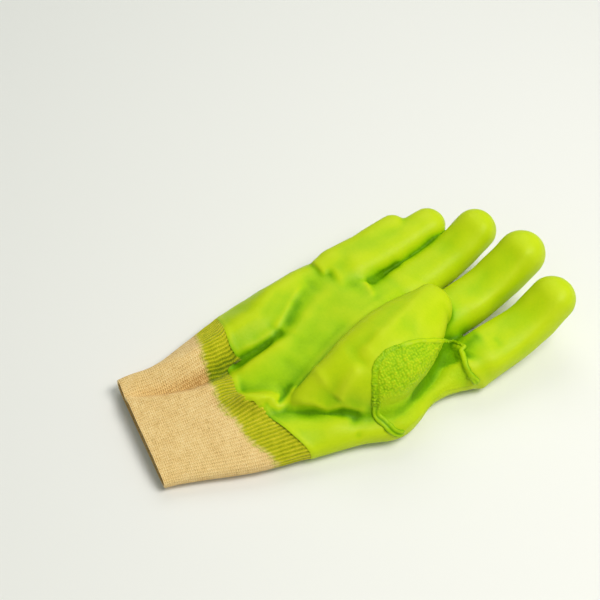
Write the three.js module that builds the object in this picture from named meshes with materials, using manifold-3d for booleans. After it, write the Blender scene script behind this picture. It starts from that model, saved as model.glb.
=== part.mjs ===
// A coated knit work glove for the right hand. It lies palm up, with its fingers curling off the
// table and its thumb folded over the palm. Millimetres, +Z up, +Y to the fingertips and +X to the
// thumb's side. The origin is on the flat underside of the palm.
import * as THREE from 'three';
import { mergeVertices } from 'three/addons/utils/BufferGeometryUtils.js';
import Module from 'manifold-3d';

const wasm = await Module();
wasm.setup();

// Driving dimensions
const palmLength = 130; // from the dipped edge at the wrist to the crotches of the fingers
const palmWidth = 126; // across the palm at the thumb's base
const palmHeight = 28; // of the hollow palm as it lies
const restPlace = 50; // from the dipped edge to the origin
const wristLength = 64; // of bare and dyed knit, from the dipped edge to the mouth
const cuffWidth = 75; // across the knit at the mouth
const cuffHeight = 14; // of the mouth as it lies
const mouthSlant = 0.19; // fall of the mouth's edge towards the wrist, for each mm across
const dyedLength = 20; // of knit that the coating has dyed
const indexLength = 84;
const middleLength = 97;
const ringLength = 92;
const littleLength = 82;
const fingerWidth = 29;
const thumbLength = 98;
const thumbWidth = 46;
const thumbHeight = 34; // thickness of the thumb
const thumbLift = 34; // height of the thumb's middle over the table
const coatWall = 1.6; // coating with the knit that it has soaked
const knitWall = 1.8; // ribbed knit alone
const knitStep = 0.6; // the coated face stands this far out from the knit
const patchWall = 1.0;
const weltWall = 1.8;
const weltWidth = 3.2;
const clearance = 0.35; // between neighbouring pieces

const ringsAlongSleeve = 30;
const pointsAroundSleeve = 36;
const ringsPastEdge = 5; // of the sleeve on either side of the dipped edge, which a cut trims
const ringsOfFoldEnd = 3; // the folds fade out over the palm's last rings
const ringsAlongFinger = 8;
const pointsAroundFinger = 14;
const ringsAlongThumb = 12;
const pointsAroundThumb = 20;
const ringsInTip = 3;
const shortestEdge = 0.02; // a cut's slivers are shorter

/** Turns rows of numbers into objects with the named columns. */
function table(columns, rows) {
  return rows.map((row) => Object.fromEntries(columns.map((name, k) => [name, row[k]])));
}

// Sections of the wrist and the palm. "at" runs from -1 at the mouth over 0 at the dipped edge to 1
// at the end of the palm. "middle" is a share of the palm's width; "width", "top" and "side" (the
// height of the widest line) are shares of the cuff's or the palm's width and height. "slant" is
// how far the section falls back along Y for each mm across.
const sideRound = 0.75; // exponents below 1 make a section's corners squarer
const topRound = 0.8;
const bottomRound = 0.6;
const sunk = 1; // the underside is drawn this far below the table and then lies flat on it
const sectionColumns = ['at', 'middle', 'width', 'slant', 'top', 'side'];
const wristSections = table(sectionColumns, [
  [-1.09, -0.206, 0.987, -0.208, 0.93, 0.43],
  [-0.9, -0.187, 1.027, -0.213, 1.0, 0.43],
  [-0.68, -0.147, 1.077, -0.2, 1.07, 0.5],
  [-0.29, -0.107, 1.297, -0.137, 1.28, 0.57],
]);
const palmSections = table(sectionColumns, [
  [0.058, -0.081, 0.877, -0.083, 0.75, 0.32],
  [0.265, -0.046, 0.948, -0.095, 0.86, 0.36],
  [0.454, -0.006, 1.028, -0.08, 0.93, 0.34],
  [0.627, -0.037, 0.963, 0.025, 1.0, 0.32],
  [0.77, -0.002, 0.972, 0.1, 0.93, 0.33],
  [0.823, 0.03, 0.969, 0.082, 0.86, 0.32],
  [0.885, 0.032, 0.88, 0.16, 0.57, 0.29],
]);

// Folds and hollows of the upper side: soft ridges and valleys along lines in plan. Places across
// are shares of the palm's width, places along are stations as above, the widths to the left and
// right of a line are shares of the palm's width and the height is a share of the palm's height.
const foldColumns = ['x', 'at', 'left', 'right', 'height'];
const folds = [
  table(foldColumns, [ // roll along the little finger's side of the cuff and the palm
    [-0.4, -0.71, 0.127, 0.071, 0.22],
    [-0.345, -0.02, 0.13, 0.085, 0.24],
    [-0.335, 0.12, 0.14, 0.1, 0.3],
    [-0.335, 0.22, 0.14, 0.09, 0.34],
    [-0.4, 0.36, 0.12, 0.08, 0.34],
    [-0.43, 0.5, 0.11, 0.08, 0.28],
    [-0.42, 0.62, 0.1, 0.08, 0.12],
  ]),
  table(foldColumns, [ // valley beside it: on the knit, as a deep notch, and running out over the palm
    [-0.19, -0.71, 0.063, 0.095, -0.18],
    [-0.2, -0.3, 0.06, 0.095, -0.2],
    [-0.22, -0.05, 0.056, 0.095, -0.36],
    [-0.225, 0.03, 0.056, 0.09, -0.46],
    [-0.22, 0.18, 0.056, 0.08, -0.46],
    [-0.25, 0.3, 0.05, 0.07, -0.42],
    [-0.31, 0.43, 0.05, 0.065, -0.34],
    [-0.365, 0.55, 0.05, 0.065, -0.2],
  ]),
  table(foldColumns, [ // soft ridge on the valley's other side
    [-0.17, 0.26, 0.045, 0.09, 0.06],
    [-0.215, 0.37, 0.045, 0.09, 0.12],
    [-0.245, 0.45, 0.045, 0.09, 0.12],
    [-0.27, 0.57, 0.045, 0.08, 0.05],
  ]),
  table(foldColumns, [ // small hooked roll at the dipped edge
    [0.016, -0.09, 0.056, 0.048, 0.25],
    [0.08, 0.03, 0.056, 0.048, 0.25],
  ]),
  table(foldColumns, [ // crease under the thumb's base
    [0.143, 0.03, 0.048, 0.048, -0.18],
    [0.365, 0.32, 0.048, 0.048, -0.18],
  ]),
  table(foldColumns, [ // valley between thumb and index finger, running out over the web
    [0.238, 0.86, 0.095, 0.071, -0.34],
    [0.357, 0.646, 0.095, 0.071, -0.34],
    [0.38, 0.56, 0.071, 0.063, -0.3],
    [0.405, 0.46, 0.071, 0.063, -0.26],
  ]),
];
const foldRise = 1.6; // how fast the folds set in above the widest line
const foldEnd = 0.08; // how softly a fold runs out past its ends, as a share of the palm's width

// Fingers. The root's place is a share of the palm's width, a station and a share of its height;
// angles are in degrees; widths are shares of the finger width and "flat" is thickness to width.
const bendDelay = 1.3; // above 1 the root stays straighter than the end
const rootSwell = 0.75; // the root starts at this share of its width, inside the palm
const rootShare = 0.2; // and is full after this share of the finger's length
const fingerColumns = ['length', 'x', 'at', 'z', 'yaw', 'rise', 'curl', 'rootWidth', 'tipWidth', 'flat'];
const fingers = table(fingerColumns, [
  [indexLength, 0.4, 0.81, 0.52, 2, 1, 47, 1.07, 0.93, 0.82],
  [middleLength, 0.135, 0.77, 0.55, 1, 2, 43, 1.02, 0.98, 0.85],
  [ringLength, -0.103, 0.74, 0.55, -2, 1, 37, 0.97, 0.88, 0.85],
  [littleLength, -0.337, 0.646, 0.73, 2.5, 2, 12, 0.93, 0.72, 0.85],
]);

// Sections of the thumb from its base, which stands at thumbX and thumbAt on the palm. "along" is a
// share of its length, "middle" and "width" are shares of its width, "z" a share of its lift and
// "thick" of its height. The oblique first sections make the crease across its base.
const thumbRound = 0.85; // exponent of its sections
const thumbX = 0.258;
const thumbAt = 0.185;
const thumbSections = table(['along', 'middle', 'width', 'slant', 'z', 'thick'], [
  [0.0, 0.0, 0.63, 1.24, 0.41, 0.35],
  [0.071, -0.01, 0.78, 0.89, 0.59, 0.71],
  [0.204, -0.01, 0.91, 0.67, 0.76, 0.94],
  [0.388, -0.076, 1.0, 0.44, 0.91, 1.0],
  [0.577, -0.163, 0.96, 0.3, 0.97, 0.94],
  [0.75, -0.25, 0.83, 0.18, 1.0, 0.82],
  [0.872, -0.304, 0.63, 0.1, 1.0, 0.76],
]);
const thumbTip = 0.133; // length of the round end, as a share of the thumb's length
const thumbLean = 0.12; // of the round end towards the palm's middle
const keelHeight = 0.07; // of the ridge along the thumb's back, as a share of the thickness
const keelAngle = 1.45; // radians from the thumb's outer side
const keelSpread = 0.28; // radians

// The dipped edge and the end of the dye, in plan. "x" is a share of the palm's width, "dipped" is
// how far the edge stands past station 0 as a share of the palm's length, and "dye" is the length
// of dyed knit there as a share of dyedLength.
const edgeLine = table(['x', 'dipped', 'dye'], [
  [-0.6, 0.125, 0.75],
  [-0.4, 0.07, 0.85],
  [-0.3, 0.035, 0.9],
  [-0.246, 0.038, 1.05],
  [-0.222, -0.015, 0.7],
  [-0.103, -0.054, 0.58],
  [0.048, -0.054, 0.8],
  [0.095, -0.015, 0.97],
  [0.238, 0.0, 0.97],
  [0.5, 0.046, 1.05],
]);

// The patch in the crotch of the thumb, in plan: shares of the palm's width and stations. The welt
// follows it from the heel over the thumb's side to the root of the index finger.
const weltLine = table(['x', 'at'], [
  [0.56, 0.42],
  [0.484, 0.37],
  [0.385, 0.335],
  [0.325, 0.39],
  [0.27, 0.466],
  [0.275, 0.546],
  [0.305, 0.63],
  [0.315, 0.745],
  [0.345, 0.8],
  [0.43, 0.805],
  [0.58, 0.815],
]);
const patchFoot = 0.26; // height of the patch's lower edge at the web, as a share of the palm's

/** The Y of a station: wrist lengths before the dipped edge, palm lengths after it. */
function alongGlove(at) {
  return at * (at < 0 ? wristLength : palmLength) - restPlace;
}

/** Runs from 0 to 1 with flat ends as t does. */
function ease(t) {
  const s = Math.min(Math.max(t, 0), 1);
  return s * s * (3 - 2 * s);
}

/** A power of a sine or cosine that keeps its sign: below 1 it makes an ellipse squarer. */
function squarer(value, power) {
  return Math.sign(value) * Math.abs(value) ** power;
}

/** Catmull-Rom curve through rows of named numbers, at "count" even steps of the row number. */
function spline(rows, count) {
  const beyond = (row, next) => mix(row, next, (a, b) => 2 * a - b);
  const knots = [beyond(rows[0], rows[1]), ...rows, beyond(rows.at(-1), rows.at(-2))];
  return Array.from({ length: count }, (_, k) => {
    const place = (k / (count - 1)) * (rows.length - 1);
    const first = Math.min(Math.floor(place), rows.length - 2);
    const f = place - first;
    const [a, b, c, d] = knots.slice(first, first + 4);
    const value = (key) =>
      0.5 * (2 * b[key] + (c[key] - a[key]) * f + (2 * a[key] - 5 * b[key] + 4 * c[key] - d[key]) * f ** 2 +
        (3 * b[key] - a[key] - 3 * c[key] + d[key]) * f ** 3);
    return Object.fromEntries(Object.keys(b).map((key) => [key, value(key)]));
  });
}

/** Combines two rows key by key. */
function mix(row, other, how) {
  return Object.fromEntries(Object.keys(row).map((key) => [key, how(row[key], other[key])]));
}

/** The point of a fold's line nearest to a place in plan, its row there and the way across to it. */
function nearestOn(fold, x, y) {
  const ends = fold.map((row) => new THREE.Vector2(row.x * palmWidth, alongGlove(row.at)));
  const found = fold.slice(1).map((next, k) => {
    const way = ends[k + 1].clone().sub(ends[k]);
    const length = way.length();
    way.normalize();
    const along = (x - ends[k].x) * way.x + (y - ends[k].y) * way.y;
    const across = (x - ends[k].x) * way.y - (y - ends[k].y) * way.x;
    const past = Math.max(-along, along - length, 0);
    const f = Math.min(Math.max(along / length, 0), 1);
    const row = mix(fold[k], next, (a, b) => a + (b - a) * f);
    return { row, across, past, distance: Math.hypot(across, past) };
  });
  return found.reduce((best, one) => (one.distance < best.distance ? one : best));
}

/** Height that the folds add to the upper side at a place in plan. */
function foldHeight(x, y) {
  return folds.reduce((height, fold) => {
    const { row, across, past } = nearestOn(fold, x, y);
    const spread = across / ((across > 0 ? row.left : row.right) * palmWidth);
    const end = past / (foldEnd * palmWidth);
    return height + row.height * palmHeight * Math.exp(-(spread ** 2) - end ** 2);
  }, 0);
}

/** Angles of the points around a section. */
function angles(count) {
  return Array.from({ length: count }, (_, k) => (2 * Math.PI * k) / count);
}

/** Wrist and palm: rings of points around a flattened tube that lies on the table. */
function sleeveRings() {
  const sized = (rows, width, height) => rows.map((row) => ({
    x: row.middle * palmWidth,
    y: alongGlove(row.at),
    half: (row.width * width) / 2,
    slant: row.slant,
    top: row.top * height,
    side: row.side * height,
  }));
  const rows = [
    ...sized(wristSections, cuffWidth, cuffHeight),
    ...sized(palmSections, palmWidth, palmHeight),
  ];
  const rings = spline(rows, ringsAlongSleeve).map((row, k) => angles(pointsAroundSleeve).map((angle) => {
    const across = row.half * squarer(Math.cos(angle), sideRound);
    const rise = Math.sin(angle);
    const x = row.x + across;
    const y = row.y + row.slant * across;
    if (rise < 0) {
      const low = row.side - (row.side + sunk) * Math.abs(rise) ** bottomRound;
      return new THREE.Vector3(x, y, Math.max(low, 0));
    }
    const z = row.side + (row.top - row.side) * rise ** topRound;
    const fade = ease(rise * foldRise) * ease((ringsAlongSleeve - 1 - k) / ringsOfFoldEnd);
    return new THREE.Vector3(x, y, z + foldHeight(x, y) * fade);
  }));
  const end = middleOf(rings.at(-1));
  rings.push(rings.at(-1).map((point) => point.clone().lerp(end, 0.5)));
  return rings;
}

/** Shares along a round tip at which its rings stand, close together at the end. */
function tipShares(first) {
  const count = ringsInTip - first + 1;
  return Array.from({ length: count }, (_, k) => Math.sin((Math.PI / 2) * ((k + first) / (ringsInTip + 0.4))));
}

/** A finger: elliptical sections along an arc that rises from the root, closed by a round tip. */
function fingerRings(finger) {
  const steps = 120;
  const centres = [new THREE.Vector3(finger.x * palmWidth, alongGlove(finger.at), finger.z * palmHeight)];
  const yaw = THREE.MathUtils.degToRad(finger.yaw);
  for (let k = 1; k <= steps; k += 1) {
    const bent = ease((k / steps) ** bendDelay);
    const pitch = THREE.MathUtils.degToRad(finger.rise + (finger.curl - finger.rise) * bent);
    const way = new THREE.Vector3(
      Math.cos(pitch) * Math.sin(yaw), Math.cos(pitch) * Math.cos(yaw), Math.sin(pitch));
    centres.push(centres.at(-1).clone().addScaledVector(way, finger.length / steps));
  }
  const tip = (finger.tipWidth * fingerWidth) / 2 / finger.length;
  const body = Array.from({ length: ringsAlongFinger }, (_, k) => (k / ringsAlongFinger) * (1 - tip));
  const shares = [...body, ...tipShares(0).map((reach) => 1 - tip + tip * reach)];
  return shares.map((share) => {
    const k = Math.min(Math.round(share * steps), steps - 1);
    const forward = centres[k + 1].clone().sub(centres[k]).normalize();
    const side = new THREE.Vector3().crossVectors(forward, new THREE.Vector3(0, 0, 1)).normalize();
    const up = new THREE.Vector3().crossVectors(side, forward);
    const inTip = Math.max(share - (1 - tip), 0) / tip;
    const width = finger.rootWidth + (finger.tipWidth - finger.rootWidth) * share;
    const swell = rootSwell + (1 - rootSwell) * ease(share / rootShare);
    const half = (width * fingerWidth / 2) * Math.sqrt(Math.max(1 - inTip ** 2, 0)) * swell;
    const centre = centres[k].clone().addScaledVector(forward, (share * steps - k) * (finger.length / steps));
    return angles(pointsAroundFinger).map((angle) => centre.clone()
      .addScaledVector(side, half * Math.cos(angle))
      .addScaledVector(up, half * finger.flat * Math.sin(angle)));
  });
}

/** The thumb: slanted sections with a low ridge along the back, closed by a round tip. */
function thumbRings() {
  const rings = spline(thumbSections, ringsAlongThumb).map((row) => {
    const x = thumbX * palmWidth + row.middle * thumbWidth;
    const y = alongGlove(thumbAt) + row.along * thumbLength;
    return angles(pointsAroundThumb).map((angle) => {
      const across = (row.width * thumbWidth / 2) * squarer(Math.cos(angle), thumbRound);
      const keel = 1 + keelHeight * Math.exp(-(((angle - keelAngle) / keelSpread) ** 2));
      const rise = (row.thick * thumbHeight / 2) * squarer(Math.sin(angle), thumbRound) * keel;
      return new THREE.Vector3(x + across, y + row.slant * across, row.z * thumbLift + rise);
    });
  });
  const last = rings.at(-1);
  const centre = middleOf(last);
  const way = new THREE.Vector3(-thumbLean, 1, 0).multiplyScalar(thumbTip * thumbLength);
  for (const reach of tipShares(1)) {
    const shrink = Math.sqrt(1 - reach ** 2);
    rings.push(last.map((point) => centre.clone()
      .addScaledVector(point.clone().sub(centre), shrink)
      .addScaledVector(way, reach)));
  }
  return rings;
}

/** Mean of a ring's points. */
function middleOf(ring) {
  return ring.reduce((sum, point) => sum.add(point), new THREE.Vector3()).divideScalar(ring.length);
}

/** Moves each point of the rings along the surface's outward normal; a minus sign moves it in. */
function grow(rings, distance) {
  return rings.map((ring, i) => ring.map((point, j) => {
    const before = rings[Math.max(i - 1, 0)][j];
    const after = rings[Math.min(i + 1, rings.length - 1)][j];
    const along = after.clone().sub(before);
    const around = ring[(j + 1) % ring.length].clone().sub(ring[(j + ring.length - 1) % ring.length]);
    const normal = along.cross(around).normalize();
    return point.clone().addScaledVector(normal, distance);
  }));
}

/** Joins rings into a closed solid, with a fan over each end. */
function loft(rings) {
  const size = rings[0].length;
  const points = [...rings.flat(), middleOf(rings[0]), middleOf(rings.at(-1))];
  const index = [];
  for (let i = 0; i < rings.length - 1; i += 1) {
    for (let j = 0; j < size; j += 1) {
      const a = i * size + j;
      const b = i * size + ((j + 1) % size);
      index.push(a, b + size, b, a, a + size, b + size);
    }
  }
  const start = points.length - 2;
  const lastRing = (rings.length - 1) * size;
  for (let j = 0; j < size; j += 1) {
    const next = (j + 1) % size;
    index.push(start, j, next, start + 1, lastRing + next, lastRing + j);
  }
  const geometry = new THREE.BufferGeometry().setFromPoints(points);
  geometry.setIndex(index);
  return solid(geometry);
}

/** Turns a closed geometry into a solid that can be joined and cut. */
function solid(geometry) {
  const bare = geometry.clone();
  bare.deleteAttribute('normal');
  bare.deleteAttribute('uv');
  const merged = mergeVertices(bare, 1e-4);
  return new wasm.Manifold(new wasm.Mesh({
    numProp: 3,
    vertProperties: Float32Array.from(merged.attributes.position.array),
    triVerts: Uint32Array.from(merged.index.array),
  }));
}

/** An upright prism over a closed outline in plan. */
function prism(outline, bottom, top) {
  const shape = new THREE.Shape(outline.map((point) => new THREE.Vector2(point.x, point.y)));
  const geometry = new THREE.ExtrudeGeometry(shape, { depth: top - bottom, bevelEnabled: false });
  return solid(geometry.translate(0, 0, bottom));
}

/** Joins a list of solids. */
function join(solids) {
  return solids.reduce((sum, piece) => sum.add(piece));
}

/** A tube's wall: what lies between two depths under the surface of the rings. */
function wall(rings, outside, inside) {
  return loft(grow(rings, -outside)).subtract(loft(grow(rings, -inside)));
}

/** Outline in plan between two lines that both run from left to right. */
function between(lower, upper) {
  return [...lower, ...upper.slice().reverse()];
}

/** Outline in plan of a strip along a line. */
function strip(line, width) {
  const sides = [1, -1].map((sign) => line.map((point, k) => {
    const before = line[Math.max(k - 1, 0)];
    const after = line[Math.min(k + 1, line.length - 1)];
    const way = after.clone().sub(before).normalize();
    return new THREE.Vector2(point.x - sign * way.y * width / 2, point.y + sign * way.x * width / 2);
  }));
  return between(sides[0], sides[1]);
}

const above = 4 * palmHeight; // higher than anything on the glove
const below = -palmHeight;
const farSide = 3 * palmLength; // past every fingertip

const sleeve = sleeveRings();
const dippedRing = sleeve.findIndex((ring) => middleOf(ring).y > -restPlace);
const palmSleeve = sleeve.slice(dippedRing - ringsPastEdge);
const wristSleeve = sleeve.slice(0, dippedRing + ringsPastEdge);
const bodyRings = [palmSleeve, thumbRings(), ...fingers.map(fingerRings)];

const dippedLine = edgeLine.map((row) =>
  new THREE.Vector2(row.x * palmWidth, row.dipped * palmLength - restPlace));
const dyeLine = edgeLine.map((row, k) =>
  new THREE.Vector2(row.x * palmWidth, dippedLine[k].y - row.dye * dyedLength));
const mouthMiddle = wristSections[0].middle * palmWidth;
const mouthLine = [-1, 1].map((side) => new THREE.Vector2(
  mouthMiddle + side * palmWidth, alongGlove(-1) - side * mouthSlant * palmWidth));
const farLine = [-1, 1].map((side) => new THREE.Vector2(side * palmWidth, farSide));
const lowered = (line) => line.map((point) => new THREE.Vector2(point.x, point.y - clearance));

/** The body's outer form, grown by a distance: palm, thumb and fingers in one. */
function body(distance) {
  return join(bodyRings.map((rings) => loft(grow(rings, distance))));
}

/** Coated hand: palm, back, thumb and four fingers in one hollow skin, open at the wrist. */
function coatedShell() {
  const side = prism(between(dippedLine, farLine), below, above);
  return body(0).subtract(body(-coatWall)).intersect(side);
}

/** Knit between the dipped edge and the end of the dye. */
function dyedBand() {
  const side = prism(between(dyeLine, lowered(dippedLine)), below, above);
  return wall(wristSleeve, knitStep, knitStep + knitWall).intersect(side);
}

/** Bare knit from the end of the dye to the mouth. */
function knitCuff() {
  const side = prism(between(mouthLine, lowered(dyeLine)), below, above);
  return wall(wristSleeve, knitStep, knitStep + knitWall).intersect(side);
}

const welt = weltLine.map((row) => new THREE.Vector2(row.x * palmWidth, alongGlove(row.at)));
const foot = patchFoot * palmHeight;

/** Raised seam around the patch. */
function patchWelt() {
  const side = prism(strip(welt, weltWidth), foot, above);
  return body(clearance + weltWall).subtract(body(clearance)).intersect(side);
}

/** Looped patch from the thumb's side over the web. */
function thumbPatch() {
  const side = prism(welt, foot, above);
  const room = prism(strip(welt, weltWidth + 2 * clearance), below, above);
  return body(clearance + patchWall).subtract(body(clearance)).intersect(side).subtract(room);
}

/** Collapses the shortest edges, so that a cut leaves no slivers; each surface stays closed. */
function withoutSlivers(positions, triangles) {
  const faces = Array.from({ length: triangles.length / 3 }, (_, k) => [...triangles.slice(3 * k, 3 * k + 3)]);
  const facesAt = Array.from({ length: positions.length / 3 }, () => new Set());
  faces.forEach((face, k) => face.forEach((point) => facesAt[point].add(k)));
  const place = (point) => new THREE.Vector3().fromArray(positions, 3 * point);
  const around = (point) => new Set([...facesAt[point]].flatMap((k) => faces[k]));
  const drop = (k) => {
    faces[k].forEach((point) => facesAt[point].delete(k));
    faces[k] = null;
  };
  const collapse = (kept, gone) => {
    for (const k of [...facesAt[gone]]) {
      if (faces[k].includes(kept)) {
        drop(k);
      } else {
        faces[k] = faces[k].map((point) => (point === gone ? kept : point));
        facesAt[gone].delete(k);
        facesAt[kept].add(k);
      }
    }
  };
  for (let k = 0; k < faces.length; k += 1) {
    for (let side = 0; faces[k] && side < 3; side += 1) {
      const kept = faces[k][side];
      const gone = faces[k][(side + 1) % 3];
      if (place(kept).distanceTo(place(gone)) < shortestEdge) {
        const others = around(gone);
        const shared = [...around(kept)].filter((point) => others.has(point)).length;
        if (shared === 4) collapse(kept, gone); // the edge's ends and the third point of two faces
      }
    }
  }
  return faces.filter((face) => face).flat();
}

/** A named mesh from a solid. */
function mesh(name, piece, material) {
  const { vertProperties, triVerts } = piece.getMesh();
  const geometry = new THREE.BufferGeometry();
  geometry.setAttribute('position', new THREE.BufferAttribute(vertProperties, 3));
  geometry.setIndex(withoutSlivers(vertProperties, triVerts));
  geometry.computeVertexNormals();
  const made = new THREE.Mesh(geometry, material);
  made.name = name;
  return made;
}

const coating = new THREE.MeshStandardMaterial({ color: 0xb4d81c, roughness: 0.38, metalness: 0 });
const coatedTerry = new THREE.MeshStandardMaterial({ color: 0xa8cc22, roughness: 0.6, metalness: 0 });
const dyedKnit = new THREE.MeshStandardMaterial({ color: 0xb4b020, roughness: 0.9, metalness: 0 });
const bareKnit = new THREE.MeshStandardMaterial({ color: 0xe6bd82, roughness: 0.95, metalness: 0 });

const glove = new THREE.Group();
glove.add(mesh('coated_shell', coatedShell(), coating));
glove.add(mesh('dyed_band', dyedBand(), dyedKnit));
glove.add(mesh('knit_cuff', knitCuff(), bareKnit));
glove.add(mesh('thumb_patch', thumbPatch(), coatedTerry));
glove.add(mesh('patch_welt', patchWelt(), coating));

export default glove;
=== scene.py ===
# %% [markdown]
# A coated work glove, seen from the lower right of its palm.
# A knit glove was dipped in soft green PVC up to the wrist. The coating soaked into the knit and
# dyed a finger's breadth of it past the dipped edge; the rest of the wrist stays beige. The glove
# lies on the back of its hand with the thumb folded over the palm.
# The coated hand is one smooth skin that runs from the palm into every finger, so it is made from
# distance fields that melt into each other. The knit is made as a grid, one column for each few
# threads, because its ribs have to run along the wrist.

import bpy
import numpy as np
import openvdb
from mathutils import Matrix, Vector
from mathutils.bvhtree import BVHTree


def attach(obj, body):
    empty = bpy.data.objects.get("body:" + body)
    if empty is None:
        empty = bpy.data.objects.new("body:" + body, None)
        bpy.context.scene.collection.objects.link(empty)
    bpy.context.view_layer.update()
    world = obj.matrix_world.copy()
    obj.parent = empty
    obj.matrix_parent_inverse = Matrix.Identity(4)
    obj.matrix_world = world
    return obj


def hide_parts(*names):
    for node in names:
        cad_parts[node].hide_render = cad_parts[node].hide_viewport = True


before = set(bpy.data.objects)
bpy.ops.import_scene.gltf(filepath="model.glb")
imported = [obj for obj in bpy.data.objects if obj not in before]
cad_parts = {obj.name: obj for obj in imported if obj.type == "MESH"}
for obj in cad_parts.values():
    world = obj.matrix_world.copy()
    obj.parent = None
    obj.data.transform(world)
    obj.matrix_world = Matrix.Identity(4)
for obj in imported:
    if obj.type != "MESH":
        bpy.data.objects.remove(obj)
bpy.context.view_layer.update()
MM = 0.001  # every size below is in millimetres

# %% [markdown]
# The sizes are those of the construction, in millimetres. The forms follow short tables, a row for
# each section or fold, that hold shares of these sizes: "at" counts wrist lengths before the dipped
# edge and palm lengths after it. A longer palm or a wider finger then takes its folds along.

# %% Sizes
PALM_LENGTH, PALM_WIDTH, PALM_HEIGHT = 130, 126, 28
REST_PLACE = 50  # from the dipped edge to the origin
WRIST_LENGTH, CUFF_WIDTH, CUFF_HEIGHT = 64, 75, 14
MOUTH_SLANT = 0.19
DYED_LENGTH = 20
FINGER_WIDTH = 29
THUMB_LENGTH, THUMB_WIDTH, THUMB_HEIGHT, THUMB_LIFT = 98, 46, 34, 34
COAT_WALL, KNIT_WALL, KNIT_STEP = 1.6, 1.8, 0.45

# middle, width, top and side are shares; slant is the way along Y for each mm across
WRIST = np.array([
    # at, middle, width, slant, top, side
    [-1.09, -0.206, 0.987, -0.208, 0.93, 0.43],
    [-0.9, -0.187, 1.027, -0.213, 1.0, 0.43],
    [-0.68, -0.147, 1.077, -0.2, 1.07, 0.5],
    [-0.29, -0.107, 1.297, -0.137, 1.28, 0.57],
])
PALM = np.array([
    [0.058, -0.081, 0.877, -0.083, 0.75, 0.32],
    [0.265, -0.046, 0.948, -0.095, 0.86, 0.36],
    [0.454, -0.006, 1.028, -0.08, 0.93, 0.34],
    [0.627, -0.037, 0.963, 0.025, 1.0, 0.32],
    [0.77, -0.002, 0.972, 0.1, 0.93, 0.33],
    [0.823, 0.03, 0.969, 0.082, 0.86, 0.32],
    [0.885, 0.032, 0.88, 0.16, 0.57, 0.29],
])
FOLDS = {
    # x, at, width to the left, width to the right, height
    "roll along the little finger's side": [
        [-0.47, -0.95, 0.11, 0.07, 0.2],
        [-0.43, -0.8, 0.11, 0.07, 0.22],
        [-0.38, -0.5, 0.12, 0.075, 0.24],
        [-0.355, -0.28, 0.125, 0.08, 0.24],
        [-0.345, -0.02, 0.13, 0.085, 0.24],
        [-0.335, 0.12, 0.14, 0.11, 0.3],
        [-0.335, 0.22, 0.14, 0.11, 0.34],
        [-0.4, 0.36, 0.12, 0.11, 0.34],
        [-0.43, 0.5, 0.11, 0.11, 0.28],
        [-0.42, 0.62, 0.1, 0.08, 0.12],
    ],
    "valley and notch beside it": [
        [-0.4, -0.95, 0.035, 0.08, -0.16],
        [-0.36, -0.82, 0.035, 0.08, -0.22],
        [-0.3, -0.61, 0.035, 0.09, -0.27],
        [-0.257, -0.4, 0.04, 0.095, -0.3],
        [-0.238, -0.236, 0.045, 0.095, -0.32],
        [-0.228, -0.05, 0.056, 0.1, -0.34],
        [-0.225, 0.03, 0.045, 0.12, -0.38],
        [-0.22, 0.18, 0.042, 0.14, -0.36],
        [-0.25, 0.3, 0.065, 0.14, -0.24],
        [-0.31, 0.43, 0.08, 0.11, -0.14],
        [-0.365, 0.55, 0.06, 0.08, -0.05],
    ],
    "ridge on the valley's other side": [
        [-0.17, 0.26, 0.045, 0.09, 0.03],
        [-0.215, 0.37, 0.045, 0.09, 0.07],
        [-0.245, 0.45, 0.045, 0.09, 0.08],
        [-0.27, 0.57, 0.045, 0.08, 0.04],
    ],
    "hooked roll at the dipped edge": [
        [0.01, -0.12, 0.045, 0.04, 0.24],
        [0.05, -0.04, 0.045, 0.04, 0.24],
    ],
    "crease under the thumb's base": [
        [0.143, 0.03, 0.052, 0.052, -0.12],
        [0.365, 0.32, 0.052, 0.052, -0.12],
    ],
    "valley between thumb and index finger": [
        [0.238, 0.86, 0.095, 0.071, -0.3],
        [0.357, 0.646, 0.095, 0.071, -0.22],
        [0.38, 0.56, 0.071, 0.063, -0.17],
        [0.405, 0.46, 0.071, 0.063, -0.12],
    ],
}
FINGERS = {
    # length, x, at, z, yaw, rise, curl, root width, tip width, flatness
    "index": (84, 0.4, 0.81, 0.52, 2, 1, 47, 1.07, 0.93, 0.82),
    "middle": (97, 0.135, 0.77, 0.55, 1, 2, 43, 1.02, 0.98, 0.85),
    "ring": (92, -0.113, 0.74, 0.55, -0.6, 1, 37, 0.99, 0.88, 0.85),
    "little": (82, -0.332, 0.646, 0.73, 2.2, 2, 12, 1.03, 0.74, 0.85),
}
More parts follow.
